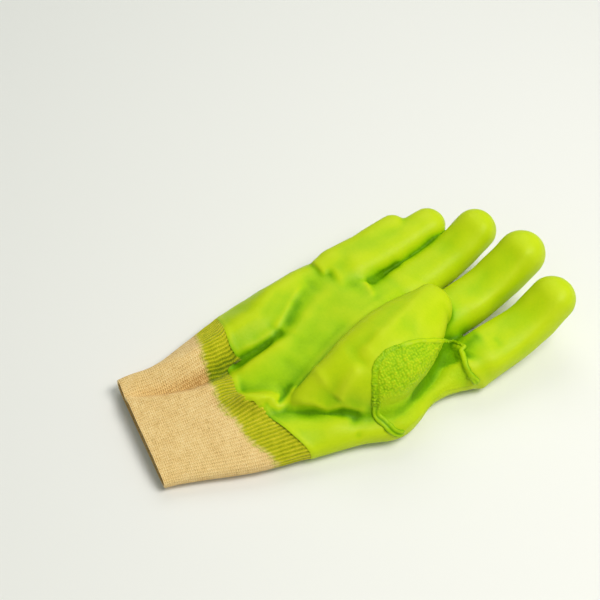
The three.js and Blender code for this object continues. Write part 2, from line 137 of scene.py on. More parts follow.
# the little finger lies flat: a fold of it stands out along its outer side
SIDE_FOLD = (66, -0.395, 0.6, 0.86, 0.5, 2, 9, 0.72, 0.6, 0.75)
THUMB_X, THUMB_AT = 0.258, 0.185
THUMB = np.array([
    # along, middle, width, slant, z, thickness
    [0.0, 0.0, 0.63, 1.24, 0.41, 0.35],
    [0.071, -0.01, 0.78, 0.89, 0.59, 0.71],
    [0.204, -0.01, 0.91, 0.67, 0.76, 0.94],
    [0.388, -0.076, 1.0, 0.44, 0.91, 1.0],
    [0.577, -0.163, 0.96, 0.3, 0.97, 0.94],
    [0.75, -0.26, 0.79, 0.18, 1.0, 0.82],
    [0.872, -0.32, 0.55, 0.1, 1.0, 0.74],
])
EDGE = np.array([
    # x, dipped edge past station 0, length of dyed knit
    [-0.6, 0.125, 0.75],
    [-0.4, 0.07, 0.85],
    [-0.3, 0.042, 0.87],
    [-0.246, 0.045, 1.0],
    [-0.228, -0.02, 0.65],
    [-0.16, -0.045, 0.6],
    [-0.06, -0.075, 0.58],
    [0.016, -0.086, 0.5],
    [0.04, -0.06, 0.6],
    [0.1, -0.038, 0.8],
    [0.16, -0.022, 0.92],
    [0.25, -0.005, 0.85],
    [0.34, 0.018, 0.85],
    [0.5, 0.046, 1.05],
])
print(len(WRIST) + len(PALM), "sections of the sleeve,", len(FOLDS), "folds,", len(FINGERS), "fingers")

# %% [markdown]
# The camera looks down at 50 degrees from the lower right, as the photograph's did. A long lens
# from 0.7 m keeps the fingers from looking larger than the wrist.

# %% Camera
CAMERA_AZIMUTH, CAMERA_ELEVATION = np.radians(54), np.radians(50)
CAMERA_DISTANCE = 700
CAMERA_LENS = 71.4
CAMERA_SHIFT = (-17.647, 42.353)  # sideways and up, so that the glove stands right of the middle

back = np.array([
    np.sin(CAMERA_AZIMUTH) * np.cos(CAMERA_ELEVATION),
    -np.cos(CAMERA_AZIMUTH) * np.cos(CAMERA_ELEVATION),
    np.sin(CAMERA_ELEVATION),
])
right = np.array([np.cos(CAMERA_AZIMUTH), np.sin(CAMERA_AZIMUTH), 0])
up = np.cross(back, right)
eye = back * CAMERA_DISTANCE + right * CAMERA_SHIFT[0] + up * CAMERA_SHIFT[1]
camera = bpy.data.objects.new("camera", bpy.data.cameras.new("camera"))
camera.data.lens = CAMERA_LENS
camera.data.clip_start, camera.data.clip_end = 0.01, 20
turn = Matrix([right, up, back]).transposed().to_4x4()
camera.matrix_world = Matrix.Translation(Vector(eye * MM)) @ turn
bpy.context.scene.collection.objects.link(camera)
bpy.context.scene.camera = camera
print("camera at", np.round(eye), "mm")

# %% [markdown]
# The studio is a pale floor, a pale surround and three large soft lamps. A glossy skin shows its
# form by where a lamp grazes it, so few lamps are better than many. The key lamp hangs high on the
# thumb's side: faces that look away from it, and the hollows, fall darker. The window stands on the
# little finger's side and gives the skin its sheen, and a weak fill comes from the wrist.


# %% Floor and light
def soft_lamp(name, place, size, watts, colour):
    """A square area lamp of a size in metres that points at the glove."""
    light = bpy.data.lights.new(name, "AREA")
    light.size, light.energy, light.color = size, watts, colour
    lamp = bpy.data.objects.new(name, light)
    lamp.location = place
    lamp.rotation_mode = "QUATERNION"
    lamp.rotation_quaternion = (-Vector(place)).to_track_quat("-Z", "Y")
    bpy.context.scene.collection.objects.link(lamp)


def plain(name, colour, roughness):
    """A plain Principled material for the studio's own surfaces."""
    material = bpy.data.materials.new(name)
    material.use_nodes = True
    surface = material.node_tree.nodes["Principled BSDF"].inputs
    surface["Base Color"].default_value = (*colour, 1)
    surface["Roughness"].default_value = roughness
    return material


FLOOR_REACH, FLOOR_DROP = 6.0, -0.0004  # in metres; a hair lower than what rests on it
floor_corners = [(x * FLOOR_REACH, y * FLOOR_REACH, FLOOR_DROP)
                 for x, y in ((-1, -1), (1, -1), (1, 1), (-1, 1))]
floor_mesh = bpy.data.meshes.new("floor")
floor_mesh.from_pydata(floor_corners, [], [(0, 1, 2, 3)])
floor = bpy.data.objects.new("floor", floor_mesh)
floor.data.materials.append(plain("floor_paint", (0.84, 0.84, 0.84), 0.8))
bpy.context.scene.collection.objects.link(floor)

world = bpy.data.worlds.new("studio")
bpy.context.scene.world = world
world.use_nodes = True
world.node_tree.nodes["Background"].inputs["Color"].default_value = (0.86, 1, 0.9, 1)
world.node_tree.nodes["Background"].inputs["Strength"].default_value = 0.25
soft_lamp("key", (0.52, 0.32, 1.18), 0.6, 14, (1, 0.96, 0.88))
soft_lamp("fill", (0.5, -0.9, 0.9), 1.0, 1, (1, 1, 1))
soft_lamp("window", (-0.72, 0.52, 1.05), 0.8, 4.2, (1, 0.99, 0.95))
bpy.context.scene.view_settings.view_transform = "Standard"

# %% [markdown]
# Curves through the tables. A row's place between two others follows a Catmull-Rom curve, which
# passes through every row and has no kinks.


# %% Curves
def ease(t):
    """Runs from 0 to 1 with flat ends: 3t^2 - 2t^3."""
    t = np.clip(t, 0, 1)
    return t * t * (3 - 2 * t)


def squarer(value, power):
    """A power that keeps the sign: below 1 it makes an ellipse squarer."""
    return np.sign(value) * np.abs(value) ** power


def spline(rows, count):
    """Catmull-Rom curve through the rows of a table, at count even steps of the row number."""
    place = np.linspace(0, len(rows) - 1, count)
    first = np.minimum(place.astype(int), len(rows) - 2)
    f = (place - first)[:, None]
    knots = np.vstack([2 * rows[0] - rows[1], rows, 2 * rows[-1] - rows[-2]])
    a, b, c, d = (knots[first + k] for k in range(4))
    return 0.5 * (2 * b + (c - a) * f + (2 * a - 5 * b + 4 * c - d) * f**2 + (3 * b - a - 3 * c + d) * f**3)


def along_glove(at):
    """The Y of a station: wrist lengths before the dipped edge, palm lengths after it."""
    at = np.asarray(at, float)
    return at * np.where(at < 0, WRIST_LENGTH, PALM_LENGTH) - REST_PLACE


def nearest_on(line, places):
    """For each place, the nearest point of a line: its part (segment and share of it), the
    distance, and how far the place lies past the line's end."""
    best = np.full(places.shape[:-1], np.inf)
    part, past = np.zeros_like(best), np.zeros_like(best)
    for k, (start, end) in enumerate(zip(line[:-1], line[1:])):
        way = end - start
        length = np.linalg.norm(way)
        t = (places - start) @ way / length**2
        f = np.clip(t, 0, 1)
        distance = np.linalg.norm(places - start - f[..., None] * way, axis=-1)
        nearer = distance < best
        best = np.where(nearer, distance, best)
        part = np.where(nearer, k + f, part)
        past = np.where(nearer, np.abs(t - f) * length, past)
    return part, best, past


def fold_height(x, y):
    """Height that the folds add: for each, a bell across its line that runs out past its ends."""
    places = np.stack([x, y], -1)
    height = np.zeros_like(x)
    for rows in FOLDS.values():
        rows = np.array(rows)
        line = np.stack([rows[:, 0] * PALM_WIDTH, along_glove(rows[:, 1])], 1)
        part, distance, past = nearest_on(line, places)
        k = np.minimum(part.astype(int), len(line) - 2)
        way = (line[1:] - line[:-1])[k]
        to = places - line[k]
        on_left = to[..., 0] * way[..., 1] - to[..., 1] * way[..., 0] > 0
        left, right_side, share = (np.interp(part, np.arange(len(rows)), rows[:, c]) for c in (2, 3, 4))
        across = np.sqrt(np.maximum(distance**2 - past**2, 0))
        spread = across / (np.where(on_left, left, right_side) * PALM_WIDTH)
        height += share * PALM_HEIGHT * np.exp(-(spread**2) - (past / (0.08 * PALM_WIDTH)) ** 2)
    return height


# %% [markdown]
# Wrist and palm are one flattened tube that lies on the table. Each ring is a squared ellipse with
# a flat underside; the folds lift and dent its upper side.


# %% The sleeve of wrist and palm
def sleeve_rows(count):
    """Sections in mm at count even steps: x, y, half width, slant, top and side height."""
    def sized(rows, width, height):
        at, middle, wide, slant, top, side = rows.T
        x, y = middle * PALM_WIDTH, along_glove(at)
        return np.stack([x, y, wide * width / 2, slant, top * height, side * height], 1)

    wrist = sized(WRIST, CUFF_WIDTH, CUFF_HEIGHT)
    palm = sized(PALM, PALM_WIDTH, PALM_HEIGHT)
    return spline(np.vstack([wrist, palm]), count)


def sleeve(count, angle):
    """Points of the tube: across = half * cos^0.75; over the side line the height rises as
    sin^0.8 and takes the folds, under it it falls as sin^0.6 and stops at the table."""
    x0, y0, half, slant, top, side = (column[:, None] for column in sleeve_rows(count).T)
    across = half * squarer(np.cos(angle), 0.75)
    rise = np.sin(angle)
    x, y = x0 + across, y0 + slant * across
    over = side + (top - side) * np.maximum(rise, 0) ** 0.8
    to_end = (count - 1 - np.arange(count))[:, None] / (count - 1)
    fade = ease(rise * 1.6) * ease(to_end * 29 / 3)
    low = np.maximum(side - (side + 1) * np.abs(rise) ** 0.6, 0)
    z = np.where(rise < 0, low, over + fold_height(x, y) * fade)
    return np.stack([x, y, z], 2)


print("the palm is", round(2 * sleeve_rows(180)[:, 2].max()), "mm wide where it is widest")


# %% [markdown]
# A finger is an ellipse carried along an arc that lifts off the table. The round tip is the same
# ellipse shrinking as a circle does.


# %% Fingers and thumb
def finger(length, x, at, z, yaw, rise, curl, root, tip, flat, rings=70, points=48):
    """Squared ellipses on a path whose pitch runs from rise to curl degrees as ease(s^1.3)."""
    s = np.linspace(0, 1, 241)
    pitch = np.radians(rise + (curl - rise) * ease(s**1.3))
    yaw = np.radians(yaw)
    way = np.stack([np.cos(pitch) * np.sin(yaw), np.cos(pitch) * np.cos(yaw), np.sin(pitch)], 1)
    path = np.array([x * PALM_WIDTH, along_glove(at), z * PALM_HEIGHT]) + np.vstack(
        [np.zeros(3), np.cumsum((way[1:] + way[:-1]) / 2, 0) * length / 240])
    cap = tip * FINGER_WIDTH / 2 / length
    share = np.concatenate([np.linspace(0, 1 - cap, rings - 14, endpoint=False),
                            1 - cap + cap * np.sin(np.linspace(0, 1.55, 14))])
    centre, forward = (np.stack([np.interp(share, s, c) for c in table.T], 1) for table in (path, way))
    side = np.cross(forward, [0, 0, 1.0])
    side /= np.linalg.norm(side, axis=1)[:, None]
    above = np.cross(side, forward)
    in_tip = np.maximum(share - (1 - cap), 0) / cap
    swell = 0.75 + 0.25 * ease(share / 0.2)
    half = (root + (tip - root) * share) * FINGER_WIDTH / 2 * np.sqrt(np.maximum(1 - in_tip**2, 0)) * swell
    angle = np.linspace(0, 2 * np.pi, points, endpoint=False)[None, :, None]
    half = half[:, None, None]
    wide, high = squarer(np.cos(angle), 0.85), flat * squarer(np.sin(angle), 0.85)
    return centre[:, None] + half * (wide * side[:, None] + high * above[:, None])


def thumb(rings=70, points=72):
    """Squared ellipses whose slant turns from the oblique base crease to the tip, with a low keel
    along the back: 1 + 0.07 exp(-((angle - 1.45) / 0.28)^2)."""
    along, middle, width, slant, z, thick = (c[:, None] for c in spline(THUMB, rings).T)
    angle = np.linspace(0, 2 * np.pi, points, endpoint=False)[None]
    across = width * THUMB_WIDTH / 2 * squarer(np.cos(angle), 0.85)
    keel = 1 + 0.07 * np.exp(-(((angle - 1.45) / 0.28) ** 2))
    rise = thick * THUMB_HEIGHT / 2 * squarer(np.sin(angle), 0.85) * keel
    x = THUMB_X * PALM_WIDTH + middle * THUMB_WIDTH + across
    y = along_glove(THUMB_AT) + along * THUMB_LENGTH + slant * across
    body = np.stack([x, y, z * THUMB_LIFT + rise], 2)
    centre = body[-1].mean(0)
    reach = np.sin(np.linspace(0, 1.55, 14)[1:])[:, None, None]
    way = np.array([-0.12, 1, 0]) * 0.115 * THUMB_LENGTH
    return np.concatenate([body, centre + (body[-1] - centre) * np.sqrt(1 - reach**2) + way * reach])


for name, numbers in FINGERS.items():
    print("the", name, "finger ends at", np.round(finger(*numbers)[-1].mean(0)).tolist(), "mm")


# %% [markdown]
# Each form becomes a distance field: at every point of a fine grid, how far the form's surface is.
# The smaller of two fields is their union. A smooth minimum lets them melt into each other over a
# few millimetres, as a dipped coating does in the crotch of two fingers.

# %% Distance fields
VOXEL = 1.27  # mm; the finest that keeps the skin under 200,000 triangles
BAND = 9  # voxels on either side of a surface
FIELD_LOW = np.array([-70, -70, -5.0])
FIELD_HIGH = np.array([74, 148, 58.0])
field_start = np.floor(FIELD_LOW / VOXEL).astype(int)
field_shape = tuple((np.ceil(FIELD_HIGH / VOXEL).astype(int) - field_start).tolist())


def grid_faces(rings, points):
    """Quads of a grid of rings that closes around, as rows of four point numbers."""
    i, j = np.meshgrid(np.arange(rings - 1), np.arange(points), indexing="ij")
    a, b = i * points + j, i * points + (j + 1) % points
    return np.stack([a, a + points, b + points, b], 2).reshape(-1, 4)


def end_fans(rings, points):
    """Triangles that close the two ends of such a grid, to two middles numbered after its points."""
    j = np.arange(points)
    k = (j + 1) % points
    last = (rings - 1) * points
    return np.vstack([np.stack([np.full(points, rings * points), k, j], 1),
                      np.stack([np.full(points, rings * points + 1), last + j, last + k], 1)])


def with_middles(rings):
    """The points of rings in one list, and after them the middles of the first and last ring."""
    return np.vstack([rings.reshape(-1, 3), rings[0].mean(0), rings[-1].mean(0)])


def field(surface):
    """Distance field of a closed form given as rings of points."""
    size = surface.shape[:2]
    level = openvdb.FloatGrid.createLevelSetFromPolygons(
        with_middles(surface).astype(np.float32), end_fans(*size).astype(np.uint32),
        grid_faces(*size).astype(np.uint32),
        openvdb.createLinearTransform(voxelSize=VOXEL), halfWidth=float(BAND))
    values = np.empty(field_shape, np.float32)
    level.copyToArray(values, ijk=tuple(field_start.tolist()))
    return values


def melt(a, b, radius):
    """Smooth union: the minimum, lowered by up to a quarter of the radius where both are near."""
    h = np.clip(0.5 + 0.5 * (b - a) / radius, 0, 1)
    return b * (1 - h) + a * h - radius * h * (1 - h)


# %% Melt the forms into one hand
tube = sleeve(180, np.linspace(0, 2 * np.pi, 200, endpoint=False))
middle = tube[-1].mean(0)
closing = [middle + (tube[-1] - middle) * share for share in (0.85, 0.6, 0.3, 0.05)]
palm_field = field(np.concatenate([tube, closing]))
hand = palm_field
for name, numbers in FINGERS.items():
    hand = np.minimum(hand, melt(palm_field, field(finger(*numbers)), 6))
hand = melt(hand, field(finger(*SIDE_FOLD)), 1.5)
x_of = (np.arange(field_shape[0]) + field_start[0])[:, None, None] * VOXEL
hand = melt(hand, field(thumb()), 2.5 + 4.5 * ease((x_of - 34) / 8))  # softer on the web's side
height = (np.arange(field_shape[2]) + field_start[2]) * VOXEL
hand = np.maximum(hand, -height[None, None, :])  # nothing reaches below the table
print("field of", field_shape, "points, lowest", round(float(hand.min()), 1))

# %% [markdown]
# Four jobs are done on meshes below, as whole arrays: list the edges, even out the points, find the
# normals, and tell which way the faces look.


# %% Helpers for meshes
def sides_of(faces):
    """The directed sides of faces, as pairs of point numbers."""
    return np.vstack([np.stack([faces[:, k], np.roll(faces, -1, 1)[:, k]], 1) for k in range(faces.shape[1])])


def edges_of(faces):
    """Every edge once, as pairs of point numbers."""
    return np.unique(np.sort(sides_of(faces), 1), axis=0)


def evened(points, edges, rounds, share):
    """Moves each point a share of the way to the mean of its neighbours, some rounds over."""
    ends = np.concatenate([edges[:, 0], edges[:, 1]])
    others = np.concatenate([edges[:, 1], edges[:, 0]])
    count = np.bincount(ends, minlength=len(points))[:, None]
    for _ in range(rounds):
        mean = np.stack([np.bincount(ends, points[others, k], len(points)) for k in range(3)], 1) / count
        points = points + share * (mean - points)
    return points


def normals_of(points, faces):
    """Outward unit normals at the points: the mean of the faces' cross products."""
    a, b, c, d = (points[faces[:, k]] for k in (0, 1, 2, -1))
    cross = np.cross(c - a, d - b)
    total = np.zeros_like(points)
    for k in range(faces.shape[1]):
        total += np.stack([np.bincount(faces[:, k], cross[:, i], len(points)) for i in range(3)], 1)
    return total / np.maximum(np.linalg.norm(total, axis=1), 1e-9)[:, None]


def volume_of(points, quads):
    """Volume inside quads: a sixth of the sum of their triple products, negative if they look in."""
    a, b, c, d = (points[quads[:, k]] for k in range(4))
    return np.einsum("ij,ij->", (a + c) / 2, np.cross(c - a, d - b)) / 6


# %% [markdown]
# The skin is where the field is zero. Its points are evened out a little, because the grid leaves
# a faint staircase on slopes that hardly rise.


# %% Skin of the coated hand
def surface_of(values):
    """Points and outward quads where a field is zero."""
    level = openvdb.FloatGrid(float(BAND * VOXEL))
    level.copyFromArray(np.ascontiguousarray(values), ijk=tuple(field_start.tolist()))
    level.transform = openvdb.createLinearTransform(voxelSize=VOXEL)
    points, quads = level.convertToQuads(0)
    points, quads = points.astype(float), quads.astype(int)
    return points, quads if volume_of(points, quads) > 0 else quads[:, ::-1]


skin, quads = surface_of(hand)
skin_edges = edges_of(quads)
skin = evened(skin, skin_edges, 3, 0.5)
print("skin of", len(skin), "points round", round(volume_of(skin, quads) / 1000), "cm3")

# %% [markdown]
# Cloth that has been dipped also creases and facets with crisp edges. Each is a line of places on the skin,
# in mm, with a height (a minus sign makes a groove), a width and a painted shade: how much darker and greener
# the coating is painted there, or with a minus sign how much lighter and yellower, as a painted highlight.
# The lines were read off as seen from the camera's side, so depth in that direction counts for less when a
# point's distance to a line is measured.

# %% Lines of the creases
CREASES = {
    # height, width, painted shade, places
    "thumb's left edge": (1.5, 6, 0, [
        (14.5, -40.6, 22), (9.9, -29, 22.6), (4.7, -16.5, 24), (0, -0.6, 25.3), (-3.3, 17.8, 26.9),
        (-6.2, 35.4, 27.8), (-9.1, 58.2, 25.6)]),
    "keel along the thumb": (1.5, 4.5, 0, [
        (28.9, -2.3, 44.4), (26.5, 7.8, 47.5), (24.7, 17.5, 49.1), (21.5, 30, 49.2), (18, 42.3, 48.4),
        (9.7, 62.2, 44.2), (4, 70, 41)]),
    "ridge from the keel to the base": (1.5, 3.2, 0, [
        (30.3, -2.7, 44.3), (32.8, -10.6, 39.6), (33.5, -18.4, 31), (33.5, -21, 27.5)]),
    "ridge across the thumb's foot": (1.2, 3, 0, [
        (4.2, -16.1, 24), (18.9, -21.9, 35.2), (29, -21.9, 31.6)]),
    "dent between the ridges": (-0.8, 5, 0, [(20.4, -6, 42.7), (21.8, 3.1, 46.2), (20.6, 16.5, 48.4)]),
    "edge of the thumb's foot": (1.7, 2.8, 0, [
        (14.5, -43.3, 21.4), (19.7, -36.1, 23.3), (25.5, -30.8, 24.5), (31.5, -26, 21.9), (36.2, -19.1, 25.2),
        (41.4, -13.8, 22.9), (46.6, -7.7, 21.9)]),
    "crease below it": (-1.2, 4, 0.15, [
        (7.1, -49.6, 23.8), (10.2, -51.1, 22), (15.5, -49.7, 19.8), (20, -43.9, 18.7), (24.3, -36.1, 17.5),
        (29, -30, 19.5), (35.2, -22.1, 20.8), (40.1, -16.1, 20.5), (46.7, -10.5, 16.6)]),
    "heel below the crease": (1.1, 3, 0, [
        (16.6, -50.3, 19), (23.9, -40.5, 18), (31.5, -30.3, 18), (40.2, -23.7, 18), (45.6, -16.8, 17)]),
    "rim of the hook": (1.3, 2.2, -0.9, [
        (4.8, -59.5, 22.7), (5.2, -55.6, 23.8), (6, -51.5, 24), (7.4, -47.6, 23.2), (9.8, -46.8, 21.8),
        (12.2, -47.5, 21.2), (14.8, -47, 21), (15.2, -43.8, 21.7), (13.2, -38.3, 22.5), (10.2, -30.6, 22.3)]),
    "pocket in the hook": (-0.9, 2.2, 0.5, [
        (9.8, -45.4, 21.6), (12.7, -44.9, 21.7), (12.1, -41.7, 22.3), (9.3, -36.8, 22.5), (7.5, -31, 22.8)]),
    "hollow beside the thumb": (-0.6, 4, 0.2, [
        (9.5, -41.1, 22.5), (8.3, -36.1, 22.7), (5, -27, 23), (1, -14, 24), (-4, 2, 25), (-8, 20, 26)]),
    "heel": (1.2, 8, 0, [(11.3, -56, 19.6), (24.2, -46.3, 16.9), (35.2, -33.1, 17.5), (48.5, -23.8, 16.7)]),
    "dent in the heel": (-0.8, 2.6, 0, [(54.5, -19.2, 13.5), (52.8, -20.1, 14.6), (50.4, -21.6, 16)]),
    "slope beside the thumb": (-0.6, 9, 0.16, [
        (-10.5, -58, 20), (-8.8, -53.6, 20), (-4.9, -42.5, 20), (-5.8, -28.1, 20), (-11, -18, 20)]),
    "upper end of that slope": (-0.5, 9, 0.08, [(-5.8, -28.1, 20), (-16.1, -10.1, 20), (-17.5, 5.3, 22)]),
    "edge of the lobe": (1.5, 3.2, 0, [
        (-33, -47, 18), (-31.5, -30, 18), (-31.2, -17, 20), (-35, -8, 25), (-41, 3, 27.5), (-46, 14, 28)]),
    "step on the lobe": (-0.9, 4, 0, [(-39.7, -22.5, 26.2), (-47.9, -7.1, 25.6), (-53, 4, 25)]),
    "floor of the valley": (-1.5, 2.2, 0.25, [
        (-29.7, -51.6, 13.3), (-28.9, -38.4, 15.8), (-27.5, -27, 15.3), (-28.5, -17.4, 16), (-31, -12, 19)]),
    "upper end of the valley": (-0.5, 5.5, 0.2, [
        (-22.4, -23.4, 20.2), (-25, -13, 22.9), (-33.4, -2.6, 21.8), (-41.2, 7.4, 22), (-46.5, 16.4, 23.5)]),
    "crotch of little and ring finger": (-1.2, 2.4, 0.5, [
        (-24.4, 44.6, 26), (-24.7, 49.4, 25.1), (-26.5, 57, 22), (-29.5, 69, 19.5), (-29.1, 76.4, 21.4)]),
    "valley between thumb and web": (-1.2, 6, 0.4, [
        (41, 52, 18.5), (42, 46, 18), (42.1, 39.7, 16), (46, 32, 16), (48.4, 27.9, 16), (51, 16, 16)]),
    "pocket at the index finger's root": (-2.6, 4, 1.2, [
        (37, 61, 18), (40, 57, 19), (44, 54, 19), (49, 52, 18)]),
    "dent at the index finger's root": (-0.4, 5, 1.2, [
        (49.5, 56, 21), (47.2, 60, 24.4), (45, 64, 24.8), (43.9, 69, 25), (44, 76, 25.8)]),
    "flat of the index finger": (-0.7, 6, 0, [(41.8, 112.2, 34.8), (44.9, 97.6, 30), (49.5, 78.4, 27.5)]),
    "edge of that flat": (0.7, 3.5, 0, [
        (58.8, 122.4, 44), (61.5, 111.3, 36.5), (62.5, 96, 26.8), (64.2, 76.2, 21.2), (64, 63.6, 15.6)]),
    "flat of the middle finger": (-0.8, 6, 0, [(14.4, 110.4, 39.3), (19.2, 93.8, 32.4), (20.7, 80.4, 29.5)]),
    "edge of the middle finger's flat": (0.9, 3.5, 0, [
        (20.3, 129.3, 49.8), (26.7, 119.1, 42.9), (29, 106.2, 32.2), (28.6, 91.7, 27.4), (27.9, 77.9, 25.5)]),
    "flat of the ring finger": (-0.6, 5, 0, [
        (-21.1, 113.8, 39.6), (-16.5, 102.4, 34.8), (-13.4, 84.6, 29.3)]),
    "edge of the ring finger's flat": (0.7, 3.5, 0, [
        (-13.5, 129.2, 42.7), (-4.8, 114.5, 35.5), (-2.4, 98, 25)]),
    "wrinkle in the index finger": (-0.5, 1.8, 0, [
        (49.9, 78.8, 27.5), (54.8, 78.3, 27.4), (59.3, 78.3, 25.6)]),
    "dent in the thumb's tip": (-0.5, 5, 0, [(22.3, 27.2, 49.3), (28.9, 32.6, 49.3), (32.7, 36.6, 48.5)]),
    "rim of the ring finger's crotch": (1.2, 2.6, 0, [
        (-25.5, 46, 26), (-23.8, 44.1, 26), (-17.5, 42.1, 26.8), (-10.4, 41, 27.1)]),
    "rim of the web": (1.1, 2.6, 0, [
        (56.9, 0.7, 16.2), (61.2, 4.9, 14.7), (61.6, 11.5, 13.4), (60.2, 17.5, 11.4), (56.2, 34.4, 9.3),
        (56.9, 42.6, 10.1), (60, 53.9, 7.3)]),
}
print(len(CREASES), "creases")


# %% Height and painted shade along the creases
def seen(points):
    """Coordinates across the camera's view, with depth counted at three tenths."""
    return np.asarray(points, float) @ np.stack([right, up, back * 0.3]).T


def crease_lift(points):
    """Sums over the creases of height and of painted shade, each times exp(0.35 - sqrt((distance / width)^2 +
    0.35^2)), a bell with a rounded top and nearly straight flanks that fades out at the crease's two ends."""
    lift, crease_painted_shade = np.zeros((2, len(points)))
    where = seen(points)
    farthest = 90  # no crease reaches this many mm from its middle
    # each crease adds painted shade, or with a minus sign a painted highlight, along its line
    for height, width, painted_dark, line in CREASES.values():
        near = np.flatnonzero(np.linalg.norm(where - seen(line).mean(0), axis=1) < farthest)
        part, distance, _ = nearest_on(seen(line), where[near])
        to_end = np.minimum(part, len(line) - 1 - part)
        profile = np.exp(0.35 - np.sqrt((distance / width) ** 2 + 0.35**2)) * ease(to_end / 0.8 + 0.1)
        lift[near] += height * profile
        crease_painted_shade[near] += painted_dark * profile
    return lift, crease_painted_shade


def dents(points, seed):
    """Slow unevenness, mostly between -1 and 1: the sum of twelve plane waves in random directions,
    14 to 37 mm long, the long ones the highest."""
    dice = np.random.default_rng(seed)
    total = np.zeros(len(points))
    for wavelength in np.repeat([14, 19, 26, 37], 3):
        way = dice.normal(size=3)
        phase = dice.uniform(0, 2 * np.pi)
        total += wavelength / 96 * np.sin(points @ way / np.linalg.norm(way) * 2 * np.pi / wavelength + phase)
    return total / 1.5


# %% [markdown]
# The coating ends in a line that wanders around the wrist, and its dye runs on in the knit for a
# finger's breadth. Both lines are read in plan from the table, so skin and knit share them.

# %% Dipped edge and end of the dye
def dipped_y(x):
    """The dipped edge in plan."""
    return np.interp(x, EDGE[:, 0] * PALM_WIDTH, EDGE[:, 1] * PALM_LENGTH - REST_PLACE)


def dye_y(x):
    """The end of the dyed knit in plan."""
    return dipped_y(x) - np.interp(x, EDGE[:, 0] * PALM_WIDTH, EDGE[:, 2] * DYED_LENGTH)


# %% [markdown]
# The skin's points move along their normals: out on a ridge, in along a groove. How hollow each place is,
# from -0.6 on a ridge to 1 in a pocket, is the distance to a smoother copy of the skin plus the creases'
# painted shade. The finish paints it into the colour as shade and highlight: hollows darker and greener,
# ridges lighter and yellower.

# %% Crease the skin
lift, crease_painted_shade = crease_lift(skin)
lift += 0.4 * dents(skin, 3)
past_edge = skin[:, 1] - dipped_y(skin[:, 0])
lift += 0.25 * np.exp(-((past_edge - 1.8) / 1.1) ** 2)  # a thin roll along the dipped edge
lift -= 0.15 * np.exp(-(past_edge / 0.9) ** 2)
on_table = skin[:, 2] < 2
skin = skin + normals_of(skin, quads) * np.where(on_table, 0, lift)[:, None]
skin = evened(skin, skin_edges, 1, 0.3)
skin[:, 2] = np.maximum(skin[:, 2], 0)
normals = normals_of(skin, quads)
# painted shade: hollowness that the finish turns into darker, greener colour, and on ridges into a lighter,
# yellower painted highlight
painted_hollow_shade = np.zeros(len(skin))
smooth = skin
for rounds, depth, weight in ((14, 0.5, 0.6), (110, 2.6, 0.6)):  # small creases, then broad valleys
    smooth = evened(smooth, skin_edges, rounds, 0.5)
    painted_hollow_shade += weight * np.clip(np.einsum("ij,ij->i", smooth - skin, normals) / depth, -1, 1)
painted_hollow_shade = np.clip(painted_hollow_shade + crease_painted_shade, -0.6, 1)
print("creases lift by", round(float(lift.min()), 1), "to", round(float(lift.max()), 1), "mm")

# %% [markdown]
# Deleting the faces past the dipped edge would leave steps as large as the grid. Instead the points
# nearest to the edge slide onto it first, so the cut is a clean line.


# %% Cut at the dipped edge
def cut(points, faces, side):
    """Keeps the part of a quad mesh where side > 0. Of every edge that crosses, the nearer end is
    moved to the crossing, so the cut runs along edges; a quad it halves keeps one triangle."""
    edges = edges_of(faces)
    a, b = edges.T
    a, b = (v[side[a] * side[b] < 0] for v in (a, b))
    swap = np.abs(side[a]) > np.abs(side[b])
    a, b = np.where(swap, b, a), np.where(swap, a, b)
    share = (side[a] / (side[a] - side[b]))[:, None]
    points, side = points.copy(), side.copy()
    points[a] = points[a] + (points[b] - points[a]) * share
    side[a] = 0
    s = side[faces]
    whole = faces[(s >= 0).all(1) & (s > 0).any(1)]
    halved = (s > 0).any(1) & (s < 0).any(1)
    s, rest = s[halved], faces[halved]
    top = np.argmax(s, 1)[:, None]
    triangles = np.take_along_axis(rest, (top + np.array([-1, 0, 1])) % 4, 1)
    return points, whole, triangles


skin, quads, corners = cut(skin, quads, skin[:, 1] - dipped_y(skin[:, 0]))
print("kept", len(quads), "quads and", len(corners), "triangles")

# %% [markdown]
# The coating is a wall: the skin, a second skin inside it, and a rim that joins them along the
# dipped edge. The wall thins to that edge, where the coating runs out over the knit.


# %% Walls
SHARP = 1.2  # radians: a bend past this is shaded as an edge, as at the rim of a wall


def make_object(name, points, faces, body="root"):
    """A mesh object at the origin from points in mm and lists of faces, and the points it uses."""
    used = np.unique(np.concatenate([f.ravel() for f in faces]))
    number = np.full(len(points), -1)
    number[used] = np.arange(len(used))
    mesh = bpy.data.meshes.new(name)
    mesh.from_pydata((points[used] * MM).tolist(), [], [f for part in faces for f in number[part].tolist()])
    mesh.validate()
    mesh.shade_smooth()
    made = bpy.data.objects.new(name, mesh)
    bpy.context.scene.collection.objects.link(made)
    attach(made, body)
    print(name, "has", sum(len(f) * (f.shape[1] - 2) for f in faces), "triangles")
    return made, used


def set_values(made, name, values):
    """Stores one number for each point of a mesh, for its material to read."""
    attribute = made.data.attributes.new(name, "FLOAT", "POINT")
    attribute.data.foreach_set("value", np.ascontiguousarray(values, np.float32))


def rim_of(faces):
    """Directed edges that only one face has, as pairs of point numbers."""
    pairs = np.vstack([sides_of(part) for part in faces])
    _, where, count = np.unique(np.sort(pairs, 1), axis=0, return_index=True, return_counts=True)
    return pairs[where[count == 1]]


def walled(points, faces, normals, thickness):
    """Closes an open sheet into a wall: outer sheet, inner sheet turned round, and a rim."""
    inner = points - normals * thickness[:, None]
    n = len(points)
    rim = rim_of(faces)
    strip = np.stack([rim[:, 1], rim[:, 0], rim[:, 0] + n, rim[:, 1] + n], 1)
    return np.vstack([points, inner]), [*faces, *[part[:, ::-1] + n for part in faces], strip]


